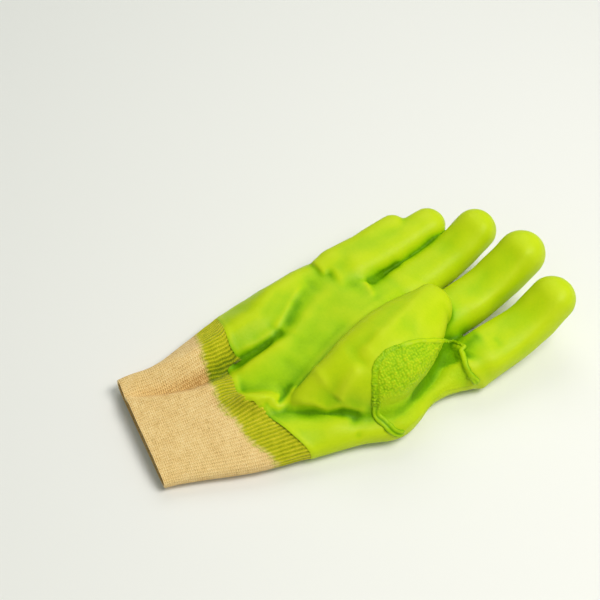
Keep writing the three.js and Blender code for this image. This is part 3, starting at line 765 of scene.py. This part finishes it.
# %% The coated hand
normals = normals_of(skin, quads)
past_edge = skin[:, 1] - dipped_y(skin[:, 0])
thickness = np.minimum(0.3 + 0.4 * np.maximum(past_edge, 0), COAT_WALL)
wall_points, wall_faces = walled(skin, [quads, corners], normals, thickness)
coated_hand, used = make_object("coated_hand", wall_points, wall_faces)
# painted shade and highlight for the coating's colour
set_values(coated_hand, "painted_hollow_shade", np.tile(painted_hollow_shade, 2)[used])
coated_hand.data.set_sharp_from_angle(angle=SHARP)
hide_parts("coated_shell")

# %% [markdown]
# The knit is a tube of a hundred ribs. A column of the grid keeps its share of the way around, so
# each rib runs on from the mouth to the dipped edge, as it does off the machine. Angles would not
# do that: on a flat sleeve they crowd the ribs at the two sides. So the rings are measured first.

# %% Columns of the knit
WALES = 100  # ribs around the wrist
PER_WALE = 6  # columns to each rib
COURSE = 1.25  # length of a stitch

SLEEVE_ROWS, KNIT_ROWS = 420, 190  # the knit needs only the rows up to a little past the dipped edge
rings = sleeve(SLEEVE_ROWS, np.linspace(0, 2 * np.pi, 1440, endpoint=False))[:KNIT_ROWS]
rings = np.concatenate([rings, rings[:, :1]], 1)
step = np.linalg.norm(np.diff(rings, axis=1), axis=2)
way_round = np.concatenate([np.zeros((KNIT_ROWS, 1)), np.cumsum(step, 1)], 1)
share = np.arange(WALES * PER_WALE) / (WALES * PER_WALE)
columns = np.stack([[np.interp(share * way[-1], way, ring[:, k]) for k in range(3)]
                    for ring, way in zip(rings, way_round)])
columns = columns.transpose(0, 2, 1)  # rows along, columns around, x y z
print("around the mouth", round(way_round[10, -1]), "mm, at the dipped edge", round(way_round[-20, -1]), "mm")


# %% [markdown]
# Mouth, end of the dye and dipped edge cross the columns at an angle. So a piece of knit doesn't
# start at a whole row: each column finds its own place for both ends, and the rows between are
# spread evenly.


# %% Rows of the knit
def row_where(value):
    """For each column, the fractional row at which a value that grows along the glove is zero."""
    first = np.argmax(value > 0, 0)
    j = np.arange(value.shape[1])
    low, high = value[first - 1, j], value[first, j]
    return first - high / (high - low)


def between_rows(low, high, count):
    """Points of the columns at count even steps between two fractional rows of each column."""
    place = low + (high - low) * np.linspace(0, 1, count)[:, None]
    first = np.floor(place).astype(int)
    j = np.arange(columns.shape[1])
    f = (place - first)[:, :, None]
    return columns[first, j] * (1 - f) + columns[first + 1, j] * f


def sheet_normals(sheet):
    """Outward normals of a grid that closes around: the cross product of its two directions."""
    along = np.gradient(sheet, axis=0)
    round_it = np.roll(sheet, -1, 1) - np.roll(sheet, 1, 1)
    normal = np.cross(along, round_it)
    return normal / np.linalg.norm(normal, axis=2)[:, :, None]


x, y = columns[:, :, 0], columns[:, :, 1]
mouth_row = row_where(y - (along_glove(-1) - MOUTH_SLANT * (x - WRIST[0, 1] * PALM_WIDTH)))
dye_row = row_where(y - dye_y(x))
dipped_row = row_where(y - dipped_y(x) - 1.5)  # the knit runs on a little under the coating
dyed_rows = dipped_row - dye_row
print("the dyed knit is", round(dyed_rows.min()), "to", round(dyed_rows.max()), "rows long")

# %% [markdown]
# Dyed and bare knit are one tube on the real glove, and two pieces here, because the dye has also
# stiffened the first: its ribs stand higher. Real ribs give the silhouette and the shading their
# fine teeth; the stitches on them are too many for geometry and are left to the finish.


# %% Knit pieces
def knit_piece(name, low, high, rows, rib_height, node):
    """A ribbed wall between two rows: the sleeve drawn in by the step, ribs that stand out as a
    cosine around, and the inner face a wall below."""
    sheet = between_rows(low, high, rows)
    normal = sheet_normals(sheet)
    past = sheet[:, :, 1] - dipped_y(sheet[:, :, 0])
    under = ease((past - 0.3) / 1.6)
    near_coat = ease((past + 5) / 4)
    rib = rib_height * (np.cos(2 * np.pi * WALES * share) - 1) * (1 - 0.7 * under)
    outer = sheet + normal * (rib - KNIT_STEP + 0.3 * near_coat - 0.9 * under)[:, :, None]
    n = sheet.shape[1]
    faces = grid_faces(rows, n)
    points = outer.reshape(-1, 3)
    points[:, 2] = np.maximum(points[:, 2], 0.15)
    thickness = np.full(len(points), KNIT_WALL - 0.4)
    wall_points, wall_faces = walled(points, [faces], normal.reshape(-1, 3), thickness)
    made, used = make_object(name, wall_points, wall_faces)
    made.data.set_sharp_from_angle(angle=SHARP)
    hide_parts(node)
    # painted shade: the knit's colour is darker in the valleys of the folds
    fold_painted_shade = ease(-fold_height(sheet[:, :, 0], sheet[:, :, 1]).ravel() / 6)
    set_values(made, "painted_fold_shade", np.tile(fold_painted_shade, 2)[used])
    lengths = np.cumsum(np.linalg.norm(np.diff(sheet, axis=0, prepend=sheet[:1]), axis=2), 0)
    return made, used, sheet, lengths


band_parts = knit_piece("dyed_knit_band", dye_row, dipped_row, 44, 0.2, "dyed_band")
cuff_parts = knit_piece("bare_knit_cuff", mouth_row, dye_row, 80, 0.1, "knit_cuff")

# %% [markdown]
# The patch in the crotch of the thumb is looped fabric with a thin coat. Its outline is a closed
# curve on the skin, and its first rows are where the seam runs.

# %% Outline of the patch
PATCH = np.array([
    # x, y, z, half width and height of the seam there
    [63.6, 3.2, 11.1, 2.2, 1.2],
    [61.6, -2.5, 13.7, 2.6, 1.4],
    [55.4, -4.8, 17.2, 2.7, 1.5],
    [48.5, -5.4, 20.2, 2.4, 1.2],
    [45.3, -2.8, 34.4, 3.0, 0.5],
    [38.8, 2.1, 43.5, 3.0, 0.5],
    [36.1, 9.2, 46.7, 2.8, 0.5],
    [36.8, 17.7, 48.1, 2.2, 0.8],
    [39.3, 30.5, 46.5, 1.7, 1.4],
    [42.2, 44.1, 40.1, 1.6, 1.4],
    [38.5, 63.5, 19.0, 1.2, 0.9],
    [46.5, 58.5, 22.5, 1.8, 1.7],
    [55.5, 55.0, 18.5, 2.0, 1.6],
    [65.2, 56.0, 14.5, 2.3, 1.4],
    [58.6, 48.8, 9, 1, 1],
    [56.3, 40, 10.7, 1, 1],
    [56.3, 32.9, 8.7, 1, 1],
    [58.7, 22.6, 9.3, 1, 1],
    [62.6, 9.7, 12.1, 1, 1],
])
SEAM_ROWS = 14  # the seam follows the first rows; the rest is the free edge of the web
PATCH_STEP = 0.4
towards = np.array([0.62, -0.25, 0.74])
towards /= np.linalg.norm(towards)
side_way = np.cross([0, 1.0, 0], towards)
side_way /= np.linalg.norm(side_way)
axes = np.stack([side_way, np.cross(towards, side_way), towards])

outline = spline(np.vstack([PATCH, PATCH[:1]]), 12 * len(PATCH) + 1)
outline[:, :3] = outline[:, :3] @ axes.T  # from here on: sideways, upwards and depth
print("outline", np.round(np.ptp(outline[:, :2], axis=0)), "mm wide and high")

# %% [markdown]
# Seen along one direction that faces the thumb's side and the web alike, the skin inside the
# outline is a height field: a fine grid takes its depth by casting rays. That gives the patch an
# even grid of its own, which a piece cut out of the skin wouldn't have.

# %% Depth of the skin under the patch
low, high = outline[:, :2].min(0) - 3, outline[:, :2].max(0) + 3
u, v = np.meshgrid(*(np.arange(a, b, PATCH_STEP) for a, b in zip(low, high)), indexing="ij")
skin_tree = BVHTree.FromPolygons(skin.tolist(), quads.tolist())
START = 120  # mm: the rays start well outside the glove
start = u[..., None] * axes[0] + v[..., None] * axes[1] + START * towards
ray = Vector(-towards)
cast = [skin_tree.ray_cast(Vector(place), ray)[2:] for place in start.reshape(-1, 3).tolist()]
depth = START - np.array([np.nan if d is None else d for _, d in cast]).reshape(u.shape)
# painted shade: each place of the patch takes the painted shade of the skin under it
painted_shade_below = np.array([0 if k is None else painted_hollow_shade[quads[k]].mean() for k, _ in cast]).reshape(u.shape)


def neighbours(values):
    """The four neighbours of every point of a grid, with the border repeated."""
    wide = np.pad(values, 1, mode="edge")
    return np.stack([wide[:-2, 1:-1], wide[2:, 1:-1], wide[1:-1, :-2], wide[1:-1, 2:]])


for _ in range(60):  # places off the skin take their neighbours' depth
    around_it = neighbours(depth)
    count = np.isfinite(around_it).sum(0)
    mean = np.nansum(around_it, 0) / np.maximum(count, 1)
    depth = np.where(np.isnan(depth) & (count > 0), mean, depth)
depth = np.nan_to_num(depth, nan=float(np.nanmean(depth)))
for _ in range(4):
    depth = 0.5 * depth + 0.5 * neighbours(depth).mean(0)
print("patch grid", u.shape, "depth", np.round([depth.min(), depth.max()]), "mm")

# %% [markdown]
# Cloth doesn't go into the bottom of a hollow: it spans it. The same depth, smoothed for long, is
# the stretched sheet, and the patch takes it where the hollow lies under it.


# %% Let the cloth span the hollow
def inside_outline(points, loop):
    """Distance in mm to a closed outline, positive inside it."""
    _, distance, _ = nearest_on(loop, points)
    x, y = points[..., 0], points[..., 1]
    crossings = np.zeros(x.shape, bool)
    for (x0, y0), (x1, y1) in zip(loop[:-1], loop[1:]):
        spans = (y0 > y) != (y1 > y)
        crossings ^= spans & (x < x0 + (y - y0) * (x1 - x0) / (y1 - y0 + 1e-12))
    return np.where(crossings, distance, -distance)


inside = inside_outline(np.stack([u, v], -1), outline[::3, :2])
spanned = depth
for _ in range(500):
    spanned = 0.5 * spanned + 0.5 * neighbours(spanned).mean(0)
sunk = np.clip(spanned - depth, 0, 8)
depth = depth + sunk * ease(inside / 8)
sheet = u[..., None] * axes[0] + v[..., None] * axes[1] + depth[..., None] * axes[2]
print("the cloth spans up to", round(float(sunk[inside > 0].max()), 1), "mm of the hollow")

# %% [markdown]
# Under its coat the patch is full of small loops. They stand in a loose order, so a jittered grid
# of round bumps is nearer to them than noise, and a second, coarser one makes the pile uneven.


# %% Loops of the patch
def grid_normals(grid):
    """Normals of an open grid, towards the side it is seen from."""
    normal = np.cross(np.gradient(grid, axis=0), np.gradient(grid, axis=1))
    return normal / np.linalg.norm(normal, axis=2)[:, :, None]


def loops(a, b, pitch, seed):
    """Round bumps on a jittered grid: 1 in a loop's middle, falling as exp(-(distance / 0.42)^2)."""
    dice = np.random.default_rng(seed)
    spread = dice.uniform(-0.32, 0.32, (400, 400, 2))
    size = dice.uniform(0.55, 1.0, (400, 400))
    a, b = a / pitch + 200, b / pitch + 200
    height = np.zeros_like(a)
    for i in (-1, 0, 1):
        for j in (-1, 0, 1):
            cell = (np.floor(a).astype(int) + i, np.floor(b).astype(int) + j)
            middle_a, middle_b = (cell[k] + 0.5 + spread[cell][..., k] for k in (0, 1))
            away = np.hypot(a - middle_a, b - middle_b)
            height = np.maximum(height, size[cell] * np.exp(-((away / 0.42) ** 2)))
    return height


face_out = grid_normals(sheet)
terry = ease((sheet[..., 2] - 25) / 12) * ease(inside / 1.5)  # the web itself is smooth
tufts = loops(u, v, 1.5, 4)
ripple = loops(u, v, 5.0, 9)
lifted = sheet + face_out * (0.5 * ease(inside / 1.2) + terry * (0.7 * tufts + 0.6 * ripple))[..., None]
# painted shade: darker between the loops, where the skin under the patch is painted darker, and where the
# cloth spans a hollow
patch_painted_shade = np.clip((0.9 - 1.2 * tufts - 0.4 * ripple) * terry + 0.75 * painted_shade_below + 0.07 * sunk, -1, 1)
print("loops on", round(float((terry[inside > 0] > 0.5).mean()), 2), "of the patch")

# %% [markdown]
# The grid is cut along the outline, as the skin was at the dipped edge, and closed into a wall.

# %% Patch on the thumb's side and the web
number = np.arange(u.size).reshape(u.shape)
cells = np.stack([number[:-1, :-1], number[1:, :-1], number[1:, 1:], number[:-1, 1:]], 2).reshape(-1, 4)
cut_points, cells, corners = cut(lifted.reshape(-1, 3), cells, inside.ravel() + 0.2)
wall_points, wall_faces = walled(cut_points, [cells, corners], face_out.reshape(-1, 3), np.full(u.size, 1.0))
patch, used = make_object("looped_patch", wall_points, wall_faces)
set_values(patch, "painted_hollow_shade", np.tile(patch_painted_shade.ravel(), 2)[used])
patch.data.set_sharp_from_angle(angle=SHARP)
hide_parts("thumb_patch")

# %% [markdown]
# A seam holds the patch. Its section is a low arch that is carried along the outline, as a cord is
# along its path; the path lies on the patch's own surface, so the seam can't float or sink.


# %% Path of the seam
def on_grid(values, at):
    """Bilinear value of a grid of points at places in the patch's plane."""
    place = (at - low) / PATCH_STEP
    first = np.clip(np.floor(place).astype(int), 0, np.array(u.shape) - 2)
    i, j = first.T
    f, g = (place - first).T[:, :, None]
    return ((values[i, j] * (1 - f) + values[i + 1, j] * f) * (1 - g)
            + (values[i, j + 1] * (1 - f) + values[i + 1, j + 1] * f) * g)


path = outline[: 12 * (SEAM_ROWS - 1) + 1]
run = np.concatenate([[0], np.cumsum(np.linalg.norm(np.diff(path[:, :3], axis=0), axis=1))])
stations = np.arange(0, run[-1], 0.45)
path = np.stack([np.interp(stations, run, column) for column in path.T], 1)
seat = on_grid(sheet, path[:, :2])
out = on_grid(face_out, path[:, :2])
for _ in range(6):
    seat[1:-1] = (seat[:-2] + 2 * seat[1:-1] + seat[2:]) / 4
    out[1:-1] = (out[:-2] + 2 * out[1:-1] + out[2:]) / 4
ahead = np.gradient(seat, axis=0)
ahead /= np.linalg.norm(ahead, axis=1)[:, None]
out -= np.sum(out * ahead, 1)[:, None] * ahead
out /= np.linalg.norm(out, axis=1)[:, None]
across = np.cross(ahead, out)
print("seam of", round(float(run[-1])), "mm in", len(stations), "sections")

# %% [markdown]
# The seam swells and sways unevenly. Where it ends in a tab a groove splits it into two ridges, and
# beside the thumb's back, where it is low, it is looped cloth too.

# %% Seam around the patch
dice = np.random.default_rng(7)


def wandering(low_value, high_value, pitch):
    """Random numbers along the seam, one each pitch mm, joined by straight lines."""
    knots = np.arange(0, run[-1] + pitch, pitch)
    return np.interp(stations, knots, dice.uniform(low_value, high_value, len(knots)))


SEAM_SIDES = 20
swell, sway = wandering(0.75, 1.2, 2.2), wandering(-0.35, 0.35, 3.1)
half, tall = path[:, 3] * (0.6 + 0.4 * swell), path[:, 4] * swell
ends = np.sqrt(np.clip(np.minimum(stations, run[-1] - stations) / 1.6, 0.02, 1))
tab = ease((path[:, 3:4] - 2) / 0.5)
looped = 1 - ease((path[:, 4:5] - 0.8) / 0.4)
angle = np.linspace(0, 2 * np.pi, SEAM_SIDES, endpoint=False)
arch = np.where(np.sin(angle) > 0, squarer(np.sin(angle), 0.8), 0.5 * np.sin(angle))
groove = np.exp(-((np.cos(angle) / 0.3) ** 2)) * (np.sin(angle) > 0)
wide = (half * ends)[:, None] * np.cos(angle)
lumps = loops(stations[:, None] + 0 * wide, wide, 1.25, 12)
high = (tall * ends)[:, None] * arch * (1 - 0.55 * tab * groove) * (1 + looped * (2.6 * lumps - 0.8))
sideways = (wide + sway[:, None])[..., None] * across[:, None]
bead = seat[:, None] + sideways + (high + 0.15)[..., None] * out[:, None]
bead_points = with_middles(bead)
bead_faces, bead_fans = grid_faces(*wide.shape), end_fans(*wide.shape)
if volume_of(bead_points, bead_faces) < 0:
    bead_faces, bead_fans = bead_faces[:, ::-1], bead_fans[:, ::-1]
welt, used = make_object("patch_seam", bead_points, [bead_faces, bead_fans])
# painted shade and highlight: the seam is darker at its foot and in the tab's groove, lighter on its crest
# and on the tops of its loops
seam_painted_shade = (0.9 - 1.1 * arch * (1 - tab * groove)) * (1 - looped) + looped * (0.75 - 1.2 * lumps)
seam_painted_shade = np.concatenate([seam_painted_shade.ravel(), [0.5, 0.5]])
set_values(welt, "painted_hollow_shade", np.clip(seam_painted_shade, -1, 1)[used])
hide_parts("patch_welt")

# %% [markdown]
# Finishes are trees of shader nodes. Four helpers keep them short: one adds any node and links its
# inputs, one is for sums and products, one adds noise, and one turns a number into a colour.


# %% Helpers for the finishes
def node(tree, kind, out=0, settings=(), **inputs):
    """Adds a shader node. Each input takes a number, a colour or another node's output; an
    underscore in its name stands for a space. Returns one of the node's outputs."""
    made = tree.nodes.new("ShaderNode" + kind)
    for name, value in dict(settings).items():
        setattr(made, name, value)
    for name, value in inputs.items():
        key = int(name[1:]) if name[1:].isdigit() else name.replace("_", " ")
        if isinstance(value, bpy.types.NodeSocket):
            tree.links.new(value, made.inputs[key])
        else:
            made.inputs[key].default_value = value
    return made.outputs[out]


def reckon(tree, operation, a, b=0.0, c=0.0):
    """A sum, product or other operation on numbers."""
    return node(tree, "Math", settings={"operation": operation}, i0=a, i1=b, i2=c)


def varied(tree, value, noise, weight):
    """A value with noise added that swings by half the weight either way."""
    return reckon(tree, "ADD", value, reckon(tree, "MULTIPLY_ADD", noise, weight, -weight / 2))


def ramp(tree, value, stops):
    """Colour from a number between 0 and 1: rows of place, red, green, blue."""
    made = tree.nodes.new("ShaderNodeValToRGB")
    tree.links.new(value, made.inputs[0])
    elements = made.color_ramp.elements
    while len(elements) < len(stops):
        elements.new(0.5)
    for element, (place, *colour) in zip(elements, stops):
        element.position = place
        element.color = (*colour, 1)
    return made.outputs[0]


def new_material(name):
    """A material with nodes, its tree and its surface node."""
    material = bpy.data.materials.new(name)
    material.use_nodes = True
    return material, material.node_tree, material.node_tree.nodes["Principled BSDF"]


# %% [markdown]
# The coating is a satin skin. Its colour drifts a little at random, and shade is painted into it: hollows
# darker and greener, ridges lighter and yellower, as painted shade and highlight. A fine grain breaks the
# gloss, and hollows, which see less of the room, have less of it.


# %% Finish of the coating
def coating_finish(name, rough, grain):
    """Satin PVC: painted hollow shade and drift choose the colour, grain makes the bump."""
    material, tree, surface = new_material(name)
    place = node(tree, "TexCoord", out="Object")
    drift = node(tree, "TexNoise", Vector=place, Scale=38.0, Detail=4.0, Roughness=0.6)
    specks = node(tree, "TexNoise", Vector=place, Scale=700.0, Detail=5.0, Roughness=0.65)
    painted_shade_here = node(tree, "Attribute", out="Fac", settings={"attribute_name": "painted_hollow_shade"})
    # painted shade and highlight: hollows darker and greener, ridges lighter and yellower
    tone = reckon(tree, "MULTIPLY_ADD", painted_shade_here, 0.38, 0.5)
    tone = varied(tree, varied(tree, tone, drift, 0.4), specks, 0.16)
    colour = ramp(tree, tone, [
        (0.0, 0.62, 0.72, 0.02), (0.35, 0.5, 0.66, 0.003), (0.58, 0.34, 0.58, 0.001),
        (0.8, 0.16, 0.38, 0.0), (1.0, 0.05, 0.16, 0.0)])
    tree.links.new(colour, surface.inputs["Base Color"])
    tree.links.new(reckon(tree, "MULTIPLY_ADD", specks, 0.25, rough - 0.12), surface.inputs["Roughness"])
    bump = node(tree, "Bump", Height=specks, Strength=grain, Distance=0.0006)
    tree.links.new(bump, surface.inputs["Normal"])
    open_to_light = reckon(tree, "MULTIPLY_ADD", painted_shade_here, -0.6, 1.0)
    gloss = node(tree, "Clamp", Value=open_to_light, Min=0.05, Max=1.0)
    tree.links.new(reckon(tree, "MULTIPLY", gloss, 0.15), surface.inputs["Specular IOR Level"])
    return material


# %% [markdown]
# The knit's finish works in stitches: u counts ribs around the wrist and v counts stitches along
# it. Each stitch is a V, so the height is a wave along v that leans with the distance from the
# rib's middle. The dye ends in a ragged border that runs further along some ribs than others.


# %% Finish of the knit
def knit_finish(name, ribbed, stitched, fuzzy):
    """Ribbed knit, beige or dyed by the attribute dye (mm past the end of the dye). ribbed, stitched and
    fuzzy weigh the ribs, the stitches and the fibres in its relief and colour; the colour is painted darker
    where the relief is low, as shade between ribs and stitches, and darker in the folds."""
    material, tree, surface = new_material(name)
    stitches = node(tree, "UVMap", settings={"uv_map": "stitches"})
    split = tree.nodes.new("ShaderNodeSeparateXYZ")
    tree.links.new(stitches, split.inputs[0])
    u, v = split.outputs[0], split.outputs[1]
    place = node(tree, "TexCoord", out="Object")
    fibres = node(tree, "TexNoise", Vector=place, Scale=1500.0, Detail=4.0, Roughness=0.7)
    clumps = node(tree, "TexNoise", Vector=place, Scale=260.0, Detail=3.0, Roughness=0.6)
    drift = node(tree, "TexNoise", Vector=place, Scale=50.0, Detail=2.0)
    wander = reckon(tree, "MULTIPLY_ADD", clumps, 0.35, -0.17)
    across = reckon(tree, "FRACT", reckon(tree, "ADD", u, wander))
    crest = reckon(tree, "ABSOLUTE", reckon(tree, "MULTIPLY_ADD", across, 2.0, -1.0))
    lean = reckon(tree, "MULTIPLY_ADD", crest, 0.55, reckon(tree, "ADD", v, wander))
    wave = reckon(tree, "SINE", reckon(tree, "MULTIPLY", lean, 2 * np.pi))
    stitch = reckon(tree, "MULTIPLY_ADD", wave, stitched / 2, 0.3)
    relief = reckon(tree, "MULTIPLY_ADD", crest, ribbed, stitch)
    # painted shade: the colour follows the relief, darker between ribs and stitches
    tone = reckon(tree, "ADD", relief, reckon(tree, "MULTIPLY_ADD", fibres, fuzzy, 0.05 - fuzzy / 2))
    tone = varied(tree, varied(tree, tone, clumps, 0.5), drift, 0.3)
    # painted shade in the valleys of the folds
    fold_painted_shade = node(tree, "Attribute", out="Fac", settings={"attribute_name": "painted_fold_shade"})
    tone = reckon(tree, "MULTIPLY_ADD", fold_painted_shade, -0.4, tone)
    beige = ramp(tree, tone, [
        (0.0, 0.46, 0.25, 0.07), (0.25, 0.74, 0.48, 0.18), (0.6, 0.9, 0.66, 0.3), (1.0, 0.96, 0.8, 0.46)])
    dyed = ramp(tree, tone, [
        (0.0, 0.12, 0.18, 0.0), (0.35, 0.32, 0.36, 0.002), (0.75, 0.56, 0.55, 0.01), (1.0, 0.7, 0.6, 0.04)])
    strand = tree.nodes.new("ShaderNodeCombineXYZ")
    tree.links.new(reckon(tree, "MULTIPLY", u, 0.8), strand.inputs[0])
    tree.links.new(reckon(tree, "MULTIPLY", v, 0.12), strand.inputs[1])
    ragged = node(tree, "TexNoise", Vector=strand.outputs[0], Scale=1.0, Detail=3.0, Roughness=0.6)
    dye = node(tree, "Attribute", out="Fac", settings={"attribute_name": "dye"})
    dye = varied(tree, varied(tree, dye, ragged, 8.0), fibres, 5.0)
    share_dyed = node(tree, "MapRange", settings={"interpolation_type": "SMOOTHSTEP"},
                      Value=dye, From_Min=-2.4, From_Max=2.4)
    mix = tree.nodes.new("ShaderNodeMixRGB")
    for key, socket in ((0, share_dyed), (1, beige), (2, dyed)):
        tree.links.new(socket, mix.inputs[key])
    tree.links.new(mix.outputs[0], surface.inputs["Base Color"])
    surface.inputs["Roughness"].default_value = 0.92
    surface.inputs["Specular IOR Level"].default_value = 0.15
    surface.inputs["Sheen Weight"].default_value = 0.1
    height = reckon(tree, "ADD", relief, reckon(tree, "MULTIPLY", fibres, 0.9))
    bump = node(tree, "Bump", Height=height, Strength=0.6, Distance=0.0006)
    tree.links.new(bump, surface.inputs["Normal"])
    return material


# %% [markdown]
# The finish counts ribs and stitches in a UV map. Where the columns close around the wrist, the
# count would run back from the last rib to zero within one face, so such a face counts on.


# %% Stitches of the knit
def lay_stitches(made, used, sheet, lengths):
    """UVs in ribs and stitches, and the distance past the end of the dye, on both faces of a wall."""
    rows, n = sheet.shape[:2]
    u_of = np.tile(np.broadcast_to(share * WALES, (rows, n)).ravel(), 2)[used]
    v_of = np.tile((lengths / COURSE).ravel(), 2)[used]
    mesh = made.data
    loops_at = np.empty(len(mesh.loops), np.int32)
    mesh.loops.foreach_get("vertex_index", loops_at)
    u_loop, v_loop = u_of[loops_at], v_of[loops_at]
    u_loop = u_loop.reshape(-1, 4)
    wraps = u_loop.max(1) - u_loop.min(1) > WALES / 2
    u_loop[wraps] = np.where(u_loop[wraps] < WALES / 2, u_loop[wraps] + WALES, u_loop[wraps])
    layer = mesh.uv_layers.new(name="stitches")
    layer.data.foreach_set("uv", np.stack([u_loop.ravel(), v_loop], 1).ravel().astype(np.float32))
    past_dye = (sheet[:, :, 1] - dye_y(sheet[:, :, 0])).ravel()
    set_values(made, "dye", np.tile(past_dye, 2)[used])


# %% [markdown]
# Hand and seam share one skin of coating; the patch's is rougher, because the coat on it is thin.
# The dye has matted the stitches of the dyed knit, so its ribs show more and its stitches less.

# %% Dress the pieces
coating = coating_finish("coating", 0.44, 0.25)
coated_hand.data.materials.append(coating)
welt.data.materials.append(coating)
patch.data.materials.append(coating_finish("coated_terry", 0.55, 0.7))
for parts, name, ribbed, stitched, fuzzy in (
    (band_parts, "dyed_knit", 0.5, 0.12, 1.3),
    (cuff_parts, "bare_knit", 0.2, 0.4, 1.6),
):
    lay_stitches(*parts)
    parts[0].data.materials.append(knit_finish(name, ribbed, stitched, fuzzy))
dressed = (coated_hand, welt, patch, band_parts[0], cuff_parts[0])
print("finishes:", [made.data.materials[0].name for made in dressed])
